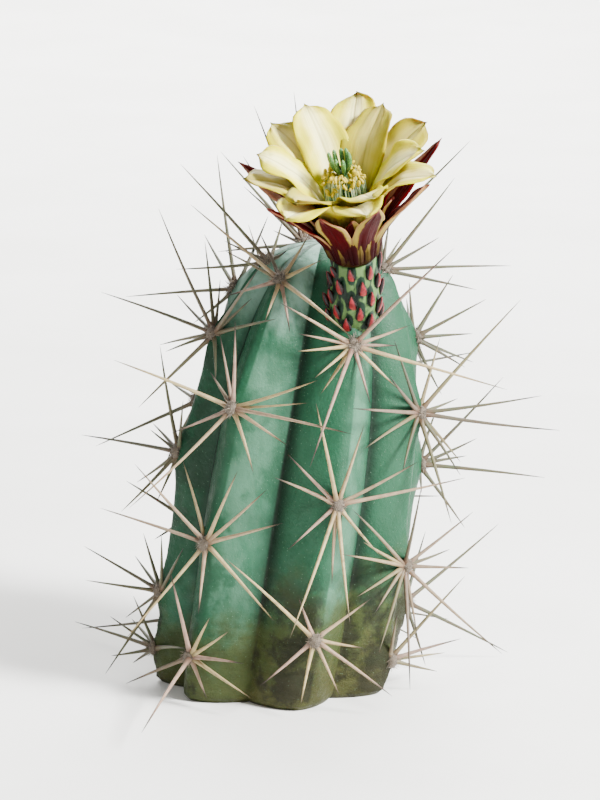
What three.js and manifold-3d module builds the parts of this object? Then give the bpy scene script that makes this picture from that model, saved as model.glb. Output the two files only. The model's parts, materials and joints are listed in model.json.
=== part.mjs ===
/**
 * Hedgehog cactus (Echinocereus): one upright ribbed stem with clusters of stiff
 * spines along its rib crests and one yellow flower on its front shoulder.
 *
 * Millimetres, +Z up. The origin is the middle of the flat foot that the stem
 * stands on. The front of the plant faces -Y and +X is to its right. A bearing
 * round the stem is in degrees from the front, growing towards +X.
 */
import * as THREE from 'three';
import { mergeVertices } from 'three/addons/utils/BufferGeometryUtils.js';
import Module from 'manifold-3d';

const wasm = await Module();
wasm.setup();
const { Manifold, Mesh: SolidMesh } = wasm;

// ---------------------------------------------------------------- dimensions

/** The stem: a column that leans to the right and closes in a blunt dome. */
const STEM = {
  height: 88.5,
  radius: 24.4, // to the rib crests, at the shoulder
  shoulder: 30, // the dome starts to draw in above this height
  footDraw: 0.7, // how much slimmer the foot is than the shoulder
  footBevel: 1.0,
  lean: 0.1034, // sideways travel of the axis for each mm of height
  domePower: 2.5,
  twist: 0.14, // degrees that the ribs turn for each mm of height
  twistZero: 40, // height at which the ribs have the bearings of RIBS
  grooveDepth: 0.2, // of the crest radius
  groovePower: 1.25,
  ribSpan: 45, // the span of a rib with exactly that groove depth
  footRings: 5,
  domeRings: 15,
};

/** Where the grid of the stem has its vertices between one crest and the next. */
const RIB_STEPS = [0, 0.14, 0.3, 0.5, 0.7, 0.86];

/** Low swellings of the crest that carry the areoles. */
const TUBERCLE = { height: 1.5, length: 5.5 };

/** Felt pads of the areoles: half sizes along the rib, across it and outwards. */
const PAD = { along: 1.8, across: 1.45, out: 0.85, sides: 7, rings: 4 };

/** Spines are straight needles; the stout ones stand in the middle of a cluster. */
const SPINE = {
  stout: { radius: 0.64, sides: 4, lift: 13 },
  fine: { radius: 0.4, sides: 3, lift: 5 },
  root: 0.7, // depth of the root below the crest line
  longest: 34,
  gap: 0.35, // least clear space round a spine
  floor: 0.7, // least height above the surface that the plant stands on
};

/** Clear space between two touching pieces. */
const GAP = 0.3;

/** Edges shorter than this are taken out of a fused solid. */
const SMALLEST_EDGE = 0.03;

/** The clock lists of RIBS are read from the front, looking down by this angle. */
const CLOCK_TILT = 14;

/**
 * The ribs, in turn round the stem. Each areole has its height and its spines,
 * each spine as [clock bearing in degrees, length in mm seen from the front].
 * An areole on the far side has no list, and its spines follow a rule.
 */
const RIBS = [
  {
    name: 'a', bearing: -77,
    areoles: [
      { height: 86, stout: [[-42, 25]], fine: [[-94, 17.5], [-64, 9], [58, 3.5]] },
      { height: 72, stout: [[-24, 26], [36, 15]],
        fine: [[-6, 17.5], [6, 10], [48, 9.5], [78, 12], [178, 9], [-110, 9.5], [-134, 20]] },
      { height: 48, stout: [[-10, 20.5], [-136, 15.5]], fine: [[6, 9.5], [-52, 6.5], [-156, 10]] },
      { height: 19, stout: [[-146, 19]], fine: [[2, 11], [28, 10], [-60, 17], [-82, 14.5], [152, 8.5]] },
      { height: 7, stout: [], fine: [[-56, 10.5], [-100, 8.5], [80, 6]] },
    ],
  },
  {
    name: 'b', bearing: -41,
    areoles: [
      { height: 84, stout: [[-50, 22], [130, 17.5]],
        fine: [[32, 9.5], [64, 8], [170, 10], [-160, 8], [-106, 10]] },
      { height: 60, stout: [[102, 23], [-134, 27], [-68, 24]],
        fine: [[-10, 14], [2, 16], [72, 16.5], [86, 14], [124, 12], [162, 12.5], [-32, 7.5]] },
      { height: 33, stout: [[-140, 23.5], [-42, 20]],
        fine: [[-16, 16], [-72, 21], [-174, 13], [138, 19], [74, 15], [48, 15.5], [24, 15]] },
      { height: 9.5, stout: [[-12, 16.5], [-146, 16]],
        fine: [[-50, 16.5], [26, 8.5], [54, 9], [94, 10], [122, 13.5], [158, 8]] },
    ],
  },
  {
    name: 'c', bearing: 17.5,
    areoles: [
      { height: 72.5, stout: [[46, 25.5], [106, 30], [-160, 24], [-60, 15.5]],
        fine: [[70, 11], [90, 8], [134, 11], [164, 11], [-78, 10], [-96, 10], [-130, 9], [-146, 10.5]] },
      { height: 42, stout: [[-12, 19.5], [78, 24.5], [174, 22], [-160, 26]],
        fine: [[18, 15.5], [62, 17], [140, 12], [-176, 14.5], [-132, 12], [-90, 13], [-66, 12.5],
          [-44, 13]] },
      { height: 15, stout: [[-46, 23], [126, 18]],
        fine: [[-20, 8], [54, 13], [156, 11.5], [-168, 12], [-130, 13], [100, 9]] },
    ],
  },
  {
    name: 'd', bearing: 66,
    areoles: [
      { height: 84.5, stout: [[38, 22], [102, 18]], fine: [[88, 24.5], [60, 12], [130, 9], [8, 9]] },
      { height: 56.5, stout: [[164, 21.5], [42, 29], [82, 23.5], [97, 27]],
        fine: [[-20, 14.5], [-40, 9], [-86, 13], [-122, 12.5], [-164, 11.5], [146, 14], [16, 14.5]] },
      { height: 26, stout: [[10, 16], [132, 25], [178, 23], [-162, 16.5]],
        fine: [[52, 16.5], [-146, 10], [-120, 10.5], [-76, 12.5], [-58, 9.5], [-42, 15.5], [92, 12]] },
      { height: 7, stout: [[42, 21.5]], fine: [[-94, 13.5], [-126, 9], [74, 14], [104, 9], [8, 9]] },
    ],
  },
  {
    name: 'e', bearing: 105,
    areoles: [
      { height: 68, stout: [[62, 15.5]], fine: [[32, 14], [86, 11], [120, 11]] },
      { height: 42, stout: [[44, 23.5], [96, 24.5]],
        fine: [[18, 11.5], [66, 12], [80, 9], [144, 15], [-28, 5]] },
      { height: 14, stout: [], fine: [] },
    ],
  },
  {
    name: 'f', bearing: 150,
    areoles: [
      { height: 83, stout: [[46, 33]], fine: [] },
      { height: 58, stout: [], fine: [] },
      { height: 32, stout: [], fine: [] },
      { height: 9, stout: [], fine: [] },
    ],
  },
  {
    name: 'g', bearing: 195,
    areoles: [
      { height: 87, stout: [[-42, 24], [-20, 28.5], [-4, 29.5]], fine: [[-46, 16], [-94, 16.5]] },
      { height: 70, stout: [], fine: [] },
      { height: 44, stout: [], fine: [] },
      { height: 17, stout: [], fine: [] },
    ],
  },
  {
    name: 'h', bearing: 239,
    areoles: [
      { height: 78, stout: [[-8, 26]], fine: [] },
      { height: 54, stout: [], fine: [] },
      { height: 29, stout: [], fine: [[-58, 13.5], [-124, 7]] },
      { height: 8, stout: [], fine: [] },
    ],
  },
];

/** The rule for the far side: spines at these clock places round the areole. */
const FAR_RULE = {
  fine: { places: [0, 42, 84, 128, 180, 232, 276, 318], rise: 17, length: 13.5, reach: 0.22 },
  stout: { places: [20, 155, 262], rise: 48, length: 21, reach: 0.2 },
  free: 26, // a place is taken when a spine of the list is nearer than this
  scatter: 9,
  seed: 20,
};

/** The flower's axis, as points of one smooth curve, and its bend at the top. */
const FLOWER = {
  tubePath: [[14.3, -9.5, 73], [15.6, -15.6, 78.6], [15.3, -17.6, 89.7]],
  tilt: 22, // of the open flower towards the front
  sideTilt: -8,
};

/** The green tube, as [place along its axis, radius], with its scales. */
const TUBE = {
  profile: [[0.0, 2.6], [0.16, 3.9], [0.36, 4.9], [0.56, 5.0], [0.78, 4.5], [1.0, 4.3]],
  sides: 16,
  scaleRows: [0.42, 0.55, 0.68, 0.81, 0.94],
  scalesInRow: 7,
  scale: { length: 4.2, width: 2.1, thick: 1.5, lift: 14 },
};

/**
 * Whorls of petals. Curves are [distance from the flower's axis, height]. The tips
 * sink by nod and draw in by tuck at the front, and rise by nod at the back.
 * Spread varies the petals' lengths, and scatter their bearings in degrees.
 */
const OUTER = {
  hub: { bottom: 0.3, top: 2.4, radiusBottom: 4.3, radiusTop: 5.0 },
  thick: 0.65,
  whorls: [
    { count: 8, turn: 22, width: 6.2, nod: 1.2, tuck: 7.0, curve: [[4.2, 1.0], [6.8, 8.4], [12.2, 11.9], [19.6, 18.5]] },
    { count: 10, turn: 0, width: 4.0, nod: 1.4, tuck: 0.8, curve: [[4.7, 0.9], [6.3, 7.2], [7.3, 11.6], [9.8, 15.0]] },
  ],
  widths: [0.6, 0.85, 1.0, 0.86, 0.24],
  point: 1.0,
  spread: 0.06,
  scatter: 8,
  seed: 5,
};

const INNER = {
  hub: { bottom: 2.75, top: 10.4, radiusBottom: 3.2, radiusTop: 4.9 },
  thick: 0.7,
  whorls: [
    { count: 6, turn: 22, width: 9.6, nod: 1.8, tuck: 0.0, curve: [[3.9, 7.0], [4.8, 14.4], [7.8, 19.8], [14.8, 23.0]] },
    { count: 7, turn: 12, width: 10.0, nod: 1.6, tuck: 0.0, curve: [[4.2, 5.4], [5.3, 14.0], [9.0, 19.0], [18.4, 21.8]] },
  ],
  widths: [0.36, 0.62, 0.96, 1.0, 0.56],
  point: 1.2,
  spread: 0.05,
  scatter: 8,
  seed: 9,
};

/** Room that the spines leave free round the open flower, widening from foot to top. */
const BOWL = { foot: 7, flare: 15, depth: 20, power: 1.2, top: 33, scales: 0.9 };

const STAMENS = {
  ring: { bottom: 10.75, top: 11.8, inner: 1.5, outer: 3.8, sides: 14 },
  rows: [
    { count: 9, radius: 2.2, tipRadius: 2.7, height: 19.6 },
    { count: 12, radius: 3.1, tipRadius: 3.9, height: 18.6 },
  ],
  filament: 0.34,
  anther: { radius: 0.62, length: 1.0 },
};

const PISTIL = {
  style: { bottom: 10.75, top: 19.6, radius: 0.75, sides: 8 },
  lobes: 9,
  lobe: { length: 5.2, radius: 0.45, spread: 15, ring: 1.0 },
};

const COLOURS = {
  stem: 0x4f8562,
  spine: 0xc9b79a,
  tube: 0x2c6a45,
  outer: 0x6a1a20,
  inner: 0xf4ecb4,
  stamens: 0xe2d67c,
  pistil: 0x6fa45c,
};

// ------------------------------------------------------------------- helpers

const radians = THREE.MathUtils.degToRad;
const degrees = THREE.MathUtils.radToDeg;
const point = (x, y, z) => new THREE.Vector3(x, y, z);

/** The angles of equal steps round a circle, shifted by a part of a step. */
const turns = (count, shift = 0) => Array.from(
  { length: count },
  (_, item) => ((item + shift) / count) * 2 * Math.PI,
);

/** Repeatable random numbers from 0 to 1. */
function randomSource(seed) {
  let state = seed;
  return () => {
    state = (state + 0x6d2b79f5) | 0;
    let t = Math.imul(state ^ (state >>> 15), 1 | state);
    t = (t + Math.imul(t ^ (t >>> 7), 61 | t)) ^ t;
    return ((t ^ (t >>> 14)) >>> 0) / 4294967296;
  };
}

/** A solid from a closed three.js geometry, placed by a matrix. */
function solid(geometry, matrix = new THREE.Matrix4()) {
  const bare = new THREE.BufferGeometry();
  bare.setAttribute('position', geometry.getAttribute('position').clone());
  if (geometry.index) bare.setIndex(geometry.index.clone());
  bare.applyMatrix4(matrix);
  const merged = mergeVertices(bare, 1e-4);
  return new Manifold(new SolidMesh({
    numProp: 3,
    vertProperties: Float32Array.from(merged.getAttribute('position').array),
    triVerts: Uint32Array.from(merged.index.array),
  }));
}

/** One solid from several. */
const fused = (solids) => solids.reduce((sum, each) => sum.add(each));

/** The outer skin of a solid's largest body, without scraps, hollows and tiny edges. */
function wholeBody(body) {
  const bodies = body.decompose();
  return bodies.reduce((best, each) => (each.volume() > best.volume() ? each : best)).simplify(SMALLEST_EDGE);
}

/** A named mesh of a solid. */
function meshOf(name, body, colour, roughness) {
  const { vertProperties, triVerts } = body.getMesh();
  const geometry = new THREE.BufferGeometry();
  geometry.setAttribute('position', new THREE.BufferAttribute(Float32Array.from(vertProperties), 3));
  geometry.setIndex(new THREE.BufferAttribute(Uint32Array.from(triVerts), 1));
  geometry.computeVertexNormals();
  const material = new THREE.MeshStandardMaterial({ color: colour, roughness, metalness: 0 });
  const mesh = new THREE.Mesh(geometry, material);
  mesh.name = name;
  return mesh;
}

/**
 * A closed geometry through a stack of rings with equally many points, each
 * ring anticlockwise seen from the last one, capped by fans round two centres.
 */
function loft(rings, bottom, top) {
  const count = rings[0].length;
  const points = [...rings.flat(), bottom, top];
  const bottomIndex = points.length - 2;
  const topIndex = points.length - 1;
  const faces = [];
  for (let side = 0; side < count; side += 1) {
    const next = (side + 1) % count;
    faces.push(bottomIndex, next, side);
    for (let ring = 0; ring < rings.length - 1; ring += 1) {
      const low = ring * count;
      const high = low + count;
      faces.push(low + side, low + next, high + next, low + side, high + next, high + side);
    }
    const last = (rings.length - 1) * count;
    faces.push(topIndex, last + side, last + next);
  }
  const geometry = new THREE.BufferGeometry().setFromPoints(points);
  geometry.setIndex(faces);
  return geometry;
}

// ---------------------------------------------------------------------- stem

const axisX = (height) => STEM.lean * height;

const twistAt = (height) => STEM.twist * (height - STEM.twistZero);

/** Distance from the axis to the rib crests, without the tubercles. */
function crestRadius(height) {
  if (height < STEM.shoulder) {
    return STEM.radius - STEM.footDraw * ((STEM.shoulder - height) / STEM.shoulder) ** 1.5;
  }
  const rise = Math.min(1, (height - STEM.shoulder) / (STEM.height - STEM.shoulder));
  return STEM.radius * (1 - rise ** STEM.domePower) ** (1 / STEM.domePower);
}

/** Swelling of a rib's crest at a height, the sum of its tubercles. */
function tubercleAt(rib, height) {
  const fade = Math.min(1, crestRadius(height) / 12);
  return fade * rib.areoles.reduce(
    (sum, areole) => sum + TUBERCLE.height * Math.exp(-(((height - areole.height) / TUBERCLE.length) ** 2)),
    0,
  );
}

/** Radius between one rib and the next, at a fraction of the way. */
function radiusBetween(rib, next, fraction, height) {
  const span = (next.bearing - rib.bearing + 360) % 360;
  const toGroove = 1 - Math.abs(2 * fraction - 1);
  const crest = crestRadius(height);
  const depth = STEM.grooveDepth * Math.sqrt(span / STEM.ribSpan) * toGroove ** STEM.groovePower;
  const near = fraction < 0.5 ? rib : next;
  const bevel = Math.max(0, STEM.footBevel - height);
  return crest * (1 - depth) + tubercleAt(near, height) * (1 - toGroove) ** 2 - bevel;
}

const nextRib = (index) => RIBS[(index + 1) % RIBS.length];

/** Radius of the stem at any bearing and height. */
function stemRadius(bearing, height) {
  const local = bearing - twistAt(height);
  for (let index = 0; index < RIBS.length; index += 1) {
    const rib = RIBS[index];
    const span = (nextRib(index).bearing - rib.bearing + 360) % 360;
    const past = (((local - rib.bearing) % 360) + 360) % 360;
    if (past <= span) return radiusBetween(rib, nextRib(index), past / span, height);
  }
  return crestRadius(height);
}

/** The point of the stem's surface at a bearing, height and radius. */
function around(bearing, height, radius) {
  const angle = radians(bearing);
  return point(axisX(height) + radius * Math.sin(angle), -radius * Math.cos(angle), height);
}

function ringHeights() {
  const foot = [0, STEM.footBevel];
  for (let ring = 1; ring <= STEM.footRings; ring += 1) {
    foot.push(STEM.footBevel + ((STEM.shoulder - STEM.footBevel) * ring) / STEM.footRings);
  }
  const dome = [];
  for (let ring = 1; ring < STEM.domeRings; ring += 1) {
    const rise = Math.sin((ring / STEM.domeRings) * (Math.PI / 2));
    dome.push(STEM.shoulder + (STEM.height - STEM.shoulder) * rise);
  }
  return [...foot, ...dome];
}

/** The stem's closed surface, moved outwards by a distance. */
function stemGeometry(outwards = 0) {
  const rings = ringHeights().map((height) => RIBS.flatMap((rib, index) => {
    const span = (nextRib(index).bearing - rib.bearing + 360) % 360;
    return RIB_STEPS.map((fraction) => around(
      rib.bearing + twistAt(height) + span * fraction,
      height,
      radiusBetween(rib, nextRib(index), fraction, height),
    ));
  }));
  const geometry = loft(rings, point(0, 0, 0), point(axisX(STEM.height), 0, STEM.height));
  if (outwards === 0) return geometry;
  geometry.computeVertexNormals();
  const places = geometry.getAttribute('position');
  const normals = geometry.getAttribute('normal');
  for (let index = 0; index < places.count; index += 1) {
    places.setXYZ(
      index,
      places.getX(index) + outwards * normals.getX(index),
      places.getY(index) + outwards * normals.getY(index),
      places.getZ(index) + outwards * normals.getZ(index),
    );
  }
  return geometry;
}

/** Whether a point is inside the stem, or nearer to it than a margin. */
function nearStem(place, margin) {
  const inside = (height, spare) => {
    if (height >= STEM.height) return false;
    const level = Math.max(0, height);
    const x = place.x - axisX(level);
    const bearing = degrees(Math.atan2(x, -place.y));
    return Math.hypot(x, place.y) < stemRadius(bearing, level) + spare;
  };
  return inside(place.z, margin) || inside(place.z - margin, 0);
}

// -------------------------------------------------------------- flower's frame

const tubeAxis = new THREE.QuadraticBezierCurve3(...FLOWER.tubePath.map((place) => point(...place)));

/** Places the open flower: its own +Z is its axis and its -Y is its front. */
const flowerMatrix = new THREE.Matrix4()
  .makeTranslation(...FLOWER.tubePath[2])
  .multiply(new THREE.Matrix4().makeRotationY(radians(FLOWER.sideTilt)))
  .multiply(new THREE.Matrix4().makeRotationX(radians(FLOWER.tilt)));
const intoFlower = flowerMatrix.clone().invert();
const flowerUp = point(0, 0, 1).transformDirection(flowerMatrix);

/** Radius of the tube at a place along its axis. */
function tubeRadius(along) {
  const { profile } = TUBE;
  const index = Math.max(1, profile.findIndex(([place]) => place >= along));
  const [low, lowRadius] = profile[index - 1];
  const [high, highRadius] = profile[index];
  return THREE.MathUtils.mapLinear(along, low, high, lowRadius, highRadius);
}

/** Whether a point is inside the room that the flower takes, or near to it. */
function nearFlower(place, margin) {
  for (let along = 0; along <= 1; along += 0.05) {
    if (tubeAxis.getPoint(along).distanceTo(place) < tubeRadius(along) + BOWL.scales + margin) return true;
  }
  const local = place.clone().applyMatrix4(intoFlower);
  const width = BOWL.foot + BOWL.flare * Math.min(1, Math.max(0, local.z) / BOWL.depth) ** BOWL.power;
  return local.z > -margin && local.z < BOWL.top && Math.hypot(local.x, local.y) < width + margin;
}

// -------------------------------------------------------------------- spines

const tilt = radians(CLOCK_TILT);
const clockRight = point(1, 0, 0);
const clockUp = point(0, Math.sin(tilt), Math.cos(tilt));
const clockNear = point(0, -Math.cos(tilt), Math.sin(tilt));

/** An areole's place, and the directions out of, up along and across its rib. */
function areoleFrame(rib, areole) {
  const onCrest = (height) => around(
    rib.bearing + twistAt(height),
    height,
    crestRadius(height) + tubercleAt(rib, height),
  );
  const step = 1.5;
  const centre = onCrest(areole.height);
  const upper = Math.min(areole.height + step, STEM.height);
  const along = onCrest(upper).sub(onCrest(areole.height - step)).normalize();
  const angle = radians(rib.bearing + twistAt(areole.height));
  const across = point(Math.cos(angle), Math.sin(angle), 0);
  const out = across.clone().cross(along).normalize();
  return { centre, along, across: along.clone().cross(out).normalize(), out };
}

/** A spine from its areole, with its needle's kind and its own direction. */
function makeSpine(frame, kind, direction, length) {
  const root = frame.centre.clone().addScaledVector(frame.out, -SPINE.root);
  const needle = SPINE[kind];
  return {
    kind,
    root,
    direction,
    length: length + SPINE.root,
    centre: frame.centre,
    at(distance) {
      return root.clone().addScaledVector(direction, distance);
    },
    thickness(distance) {
      return needle.radius * Math.max(0, 1 - distance / (length + SPINE.root));
    },
  };
}

/** Least clear space between the outer parts of two spines. */
function spineGap(one, other) {
  if (one.centre.distanceTo(other.centre) > one.length + other.length) return Infinity;
  const between = one.root.clone().sub(other.root);
  const slant = one.direction.dot(other.direction);
  const first = one.direction.dot(between);
  const second = other.direction.dot(between);
  const spare = Math.max(1e-6, 1 - slant * slant);
  const clampTo = (value, spine) => Math.min(spine.length, Math.max(0, value));
  let along = clampTo((slant * second - first) / spare, one);
  const beside = clampTo(slant * along + second, other);
  along = clampTo(slant * beside - first, one);
  return one.at(along).distanceTo(other.at(beside)) - one.thickness(along) - other.thickness(beside);
}

/** Whether a spine clears the stem, the flower, the floor and other clusters. */
function isClear(spine, others) {
  for (let distance = 3.2; distance <= spine.length; distance += 0.8) {
    const place = spine.at(distance);
    const margin = spine.thickness(distance) + SPINE.gap;
    if (place.z - margin < SPINE.floor) return false;
    if (nearStem(place, margin)) return false;
    if (nearFlower(place, margin)) return false;
  }
  return others.every((other) => spineGap(spine, other) > SPINE.gap);
}

/**
 * A spine that looks right from the front: it keeps its clock bearing and its
 * length in that view, and leans forward only as far as it must to be clear.
 */
function spineByClock(frame, kind, [bearing, reach], others) {
  const angle = radians(bearing);
  const flat = clockRight.clone().multiplyScalar(Math.sin(angle)).addScaledVector(clockUp, Math.cos(angle));
  const { lift } = SPINE[kind];
  const leanTo = (lean) => {
    const direction = flat.clone().multiplyScalar(Math.cos(radians(lean)))
      .addScaledVector(clockNear, Math.sin(radians(lean)));
    const length = Math.min(SPINE.longest, reach / Math.cos(radians(lean)));
    return makeSpine(frame, kind, direction, length);
  };
  let least = -12;
  while (least < 72 && !isClear(leanTo(least), [])) least += 3;
  for (const extra of [lift, lift + 5, lift - 5, lift + 10, lift + 15, lift + 20, lift + 26]) {
    const spine = leanTo(Math.min(76, least + extra));
    if (isClear(spine, others)) return spine;
  }
  return null;
}

/** A spine by its clock place round the areole itself and its rise above the rib. */
function spineByRule(frame, kind, place, length, others) {
  const rule = FAR_RULE[kind];
  for (const extra of [0, 6, 12, -5, 18, 24, 30]) {
    const rise = radians(rule.rise + extra);
    const angle = radians(place);
    const direction = frame.along.clone().multiplyScalar(Math.cos(angle) * Math.cos(rise))
      .addScaledVector(frame.across, Math.sin(angle) * Math.cos(rise))
      .addScaledVector(frame.out, Math.sin(rise));
    const spine = makeSpine(frame, kind, direction, length);
    if (isClear(spine, others)) return spine;
  }
  return null;
}

/** Spines by rule, only where the cluster faces away and has a free place. */
function farSpines(frame, listed, others, random) {
  const added = [];
  for (const kind of ['stout', 'fine']) {
    const rule = FAR_RULE[kind];
    for (const place of rule.places) {
      const jitter = (random() - 0.5) * 2 * rule.reach;
      const turned = place + (random() - 0.5) * 2 * FAR_RULE.scatter;
      const spine = spineByRule(frame, kind, turned, rule.length * (1 + jitter), others);
      if (!spine) continue;
      const faces = spine.direction.dot(clockNear);
      const taken = listed.some((other) => degrees(other.direction.angleTo(spine.direction)) < FAR_RULE.free);
      if (faces < -0.12 && !taken) added.push(spine);
    }
  }
  return added;
}

/** All the spines of the plant, cluster by cluster. */
function growClusters() {
  const random = randomSource(FAR_RULE.seed);
  const clusters = [];
  for (const rib of RIBS) {
    rib.areoles.forEach((areole, index) => {
      const frame = areoleFrame(rib, areole);
      clusters.push({ name: `spine_cluster_${rib.name}${index + 1}`, areole, frame, spines: [] });
    });
  }
  const others = (cluster) => clusters.filter((each) => each !== cluster).flatMap((each) => each.spines);
  for (const kind of ['stout', 'fine']) {
    for (const cluster of clusters) {
      for (const entry of cluster.areole[kind]) {
        const spine = spineByClock(cluster.frame, kind, entry, others(cluster));
        if (spine) cluster.spines.push(spine);
      }
    }
  }
  for (const cluster of clusters) {
    cluster.spines.push(...farSpines(cluster.frame, cluster.spines, others(cluster), random));
  }
  return clusters;
}

/** A needle as a slim cone from its root to its tip. */
function needleSolid(spine) {
  const { radius, sides } = SPINE[spine.kind];
  const cone = new THREE.ConeGeometry(radius, spine.length, sides, 1);
  const turn = new THREE.Quaternion().setFromUnitVectors(point(0, 1, 0), spine.direction);
  const matrix = new THREE.Matrix4().compose(spine.at(spine.length / 2), turn, point(1, 1, 1));
  return solid(cone, matrix);
}

/** A felt pad with its spines, seated on the stem with a small gap. */
function clusterSolid({ frame, spines }, stemRoom) {
  const ball = new THREE.SphereGeometry(1, PAD.sides, PAD.rings);
  const matrix = new THREE.Matrix4()
    .makeBasis(frame.across, frame.along, frame.out)
    .setPosition(frame.centre)
    .multiply(new THREE.Matrix4().makeScale(PAD.across, PAD.along, PAD.out + GAP));
  const pad = solid(ball, matrix);
  return wholeBody(fused([pad, ...spines.map(needleSolid)]).subtract(stemRoom));
}

// -------------------------------------------------------------------- flower

/** The tube's axis at a place along it: its centre, its direction and a ray out of it. */
function tubeFrame(along) {
  const forward = tubeAxis.getTangent(along).lerp(flowerUp, along).normalize();
  const right = point(0, 1, 0).cross(forward).normalize();
  const back = forward.clone().cross(right);
  const ray = (angle) => right.clone().multiplyScalar(Math.cos(angle)).addScaledVector(back, Math.sin(angle));
  return { centre: tubeAxis.getPoint(along), forward, ray };
}

/** A pointed scale of the tube, lifted a little from its side. */
function scaleSolid(along, angle) {
  const { length, width, thick, lift } = TUBE.scale;
  const { centre, forward, ray } = tubeFrame(along);
  const out = ray(angle);
  const rise = forward.clone().multiplyScalar(Math.cos(radians(lift)))
    .addScaledVector(out, Math.sin(radians(lift)));
  const side = rise.clone().cross(out).normalize();
  const face = side.clone().cross(rise).normalize();
  const seat = centre.addScaledVector(out, tubeRadius(along) - thick * 0.15)
    .addScaledVector(rise, -length * 0.1);
  const matrix = new THREE.Matrix4().makeBasis(side, rise, face).setPosition(seat)
    .multiply(new THREE.Matrix4().makeScale(width / 2, length / 2, thick / 2));
  return solid(new THREE.OctahedronGeometry(1), matrix);
}

/** The green tube along its bent axis, with rows of scales. */
function tubeSolid(stemRoom) {
  const rings = TUBE.profile.map(([along, radius]) => {
    const { centre, ray } = tubeFrame(along);
    return turns(TUBE.sides).map((angle) => centre.clone().addScaledVector(ray(angle), radius));
  });
  const tube = solid(loft(rings, tubeAxis.getPoint(0), tubeAxis.getPoint(1)));
  const scales = TUBE.scaleRows.flatMap((along, row) => turns(TUBE.scalesInRow, (row % 2) / 2)
    .map((angle) => scaleSolid(along, angle)));
  const aboveTube = new THREE.BoxGeometry(60, 60, 20);
  const raised = flowerMatrix.clone().multiply(new THREE.Matrix4().makeTranslation(0, 0, 10));
  return wholeBody(fused([tube, ...scales]).subtract(stemRoom).subtract(solid(aboveTube, raised)));
}

/** One petal of a whorl, in the flower's frame, as a bent blade with a keel. */
function petalSolid(whorl, layer, item, random) {
  const rows = layer.widths.length;
  const bearing = radians(whorl.turn + (360 * item) / whorl.count + (random() - 0.5) * layer.scatter);
  const scale = 1 + (random() - 0.5) * 2 * layer.spread;
  const [start, ...rest] = whorl.curve;
  const bend = rest.map(([out, high], index) => {
    const share = (index + 1) / rest.length;
    const front = Math.cos(bearing) * share ** 2;
    const reach = out * (1 + (scale - 1) * share) - whorl.tuck * Math.max(0, front);
    return [reach, high * scale - whorl.nod * front];
  });
  const controls = [start, ...bend].map(([out, high]) => new THREE.Vector2(out, high));
  const keel = new THREE.CubicBezierCurve(...controls);
  const outward = point(Math.sin(bearing), -Math.cos(bearing), 0);
  const sideways = point(Math.cos(bearing), Math.sin(bearing), 0);
  const points = [];
  for (let row = 0; row < rows; row += 1) {
    const along = row / (rows - 1);
    const { x: out, y: high } = keel.getPoint(along);
    const direction = keel.getTangent(along);
    const half = (whorl.width * layer.widths[row]) / 2;
    const middle = outward.clone().multiplyScalar(out).setZ(high);
    const upper = outward.clone().multiplyScalar(-direction.y).setZ(direction.x);
    const hollow = (half * half) / (2 * Math.max(7, out * 1.4));
    for (const face of [0.5, -0.5]) {
      for (const column of [-1, 0, 1]) {
        const tip = row === rows - 1 && column === 0 ? layer.point : 0;
        points.push(middle.clone()
          .addScaledVector(sideways, column * half)
          .addScaledVector(outward, tip * direction.x)
          .add(point(0, 0, tip * direction.y))
          .addScaledVector(upper, Math.abs(column) * hollow + face * layer.thick));
      }
    }
  }
  const geometry = new THREE.BufferGeometry().setFromPoints(points);
  geometry.setIndex(bladeFaces(rows));
  return solid(geometry);
}

/** Faces of a blade with rows of three upper and three lower points. */
function bladeFaces(rows) {
  const faces = [];
  const quad = (a, b, c, d) => faces.push(a, c, b, a, d, c);
  const loop = [0, 1, 2, 5, 4, 3];
  for (let row = 0; row < rows - 1; row += 1) {
    for (let side = 0; side < loop.length; side += 1) {
      const here = row * 6 + loop[side];
      const beside = row * 6 + loop[(side + 1) % loop.length];
      quad(here, beside, beside + 6, here + 6);
    }
  }
  const last = (rows - 1) * 6;
  quad(3, 4, 1, 0);
  quad(4, 5, 2, 1);
  quad(last, last + 1, last + 4, last + 3);
  quad(last + 1, last + 2, last + 5, last + 4);
  return faces;
}

/** A short round hub between two levels of the flower's axis. */
function hubSolid({ bottom, top, radiusBottom, radiusTop }) {
  const hub = new THREE.CylinderGeometry(radiusTop, radiusBottom, top - bottom, 16);
  const matrix = new THREE.Matrix4().makeTranslation(0, 0, (top + bottom) / 2)
    .multiply(new THREE.Matrix4().makeRotationX(Math.PI / 2));
  return solid(hub, matrix);
}

/** A hub with all the petals of its whorls. */
function petalLayer(layer) {
  const random = randomSource(layer.seed);
  const petals = layer.whorls.flatMap((whorl) => Array.from(
    { length: whorl.count },
    (_, item) => petalSolid(whorl, layer, item, random),
  ));
  return wholeBody(fused([hubSolid(layer.hub), ...petals])).transform(flowerMatrix.elements);
}

/** A ring that carries the filaments, each with its anther. */
function stamensSolid() {
  const { bottom, top, inner, outer, sides } = STAMENS.ring;
  const section = [[inner, bottom], [outer, bottom], [outer, top], [inner, top], [inner, bottom]];
  const upright = new THREE.Matrix4().makeRotationX(Math.PI / 2);
  const ring = solid(
    new THREE.LatheGeometry(section.map(([x, y]) => new THREE.Vector2(x, y)), sides),
    upright,
  );
  const stamens = STAMENS.rows.flatMap((row) => turns(row.count).map((angle) => {
    const ray = point(Math.cos(angle), Math.sin(angle), 0);
    const foot = ray.clone().multiplyScalar(row.radius).setZ(bottom + 0.4);
    const tip = ray.clone().multiplyScalar(row.tipRadius).setZ(row.height);
    return fused([rod(foot, tip, STAMENS.filament, 3), antherAt(tip)]);
  }));
  return wholeBody(fused([ring, ...stamens])).transform(flowerMatrix.elements);
}

function antherAt(tip) {
  const { radius, length } = STAMENS.anther;
  const matrix = new THREE.Matrix4().makeScale(radius, radius, length).setPosition(tip);
  return solid(new THREE.OctahedronGeometry(1), matrix);
}

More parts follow.
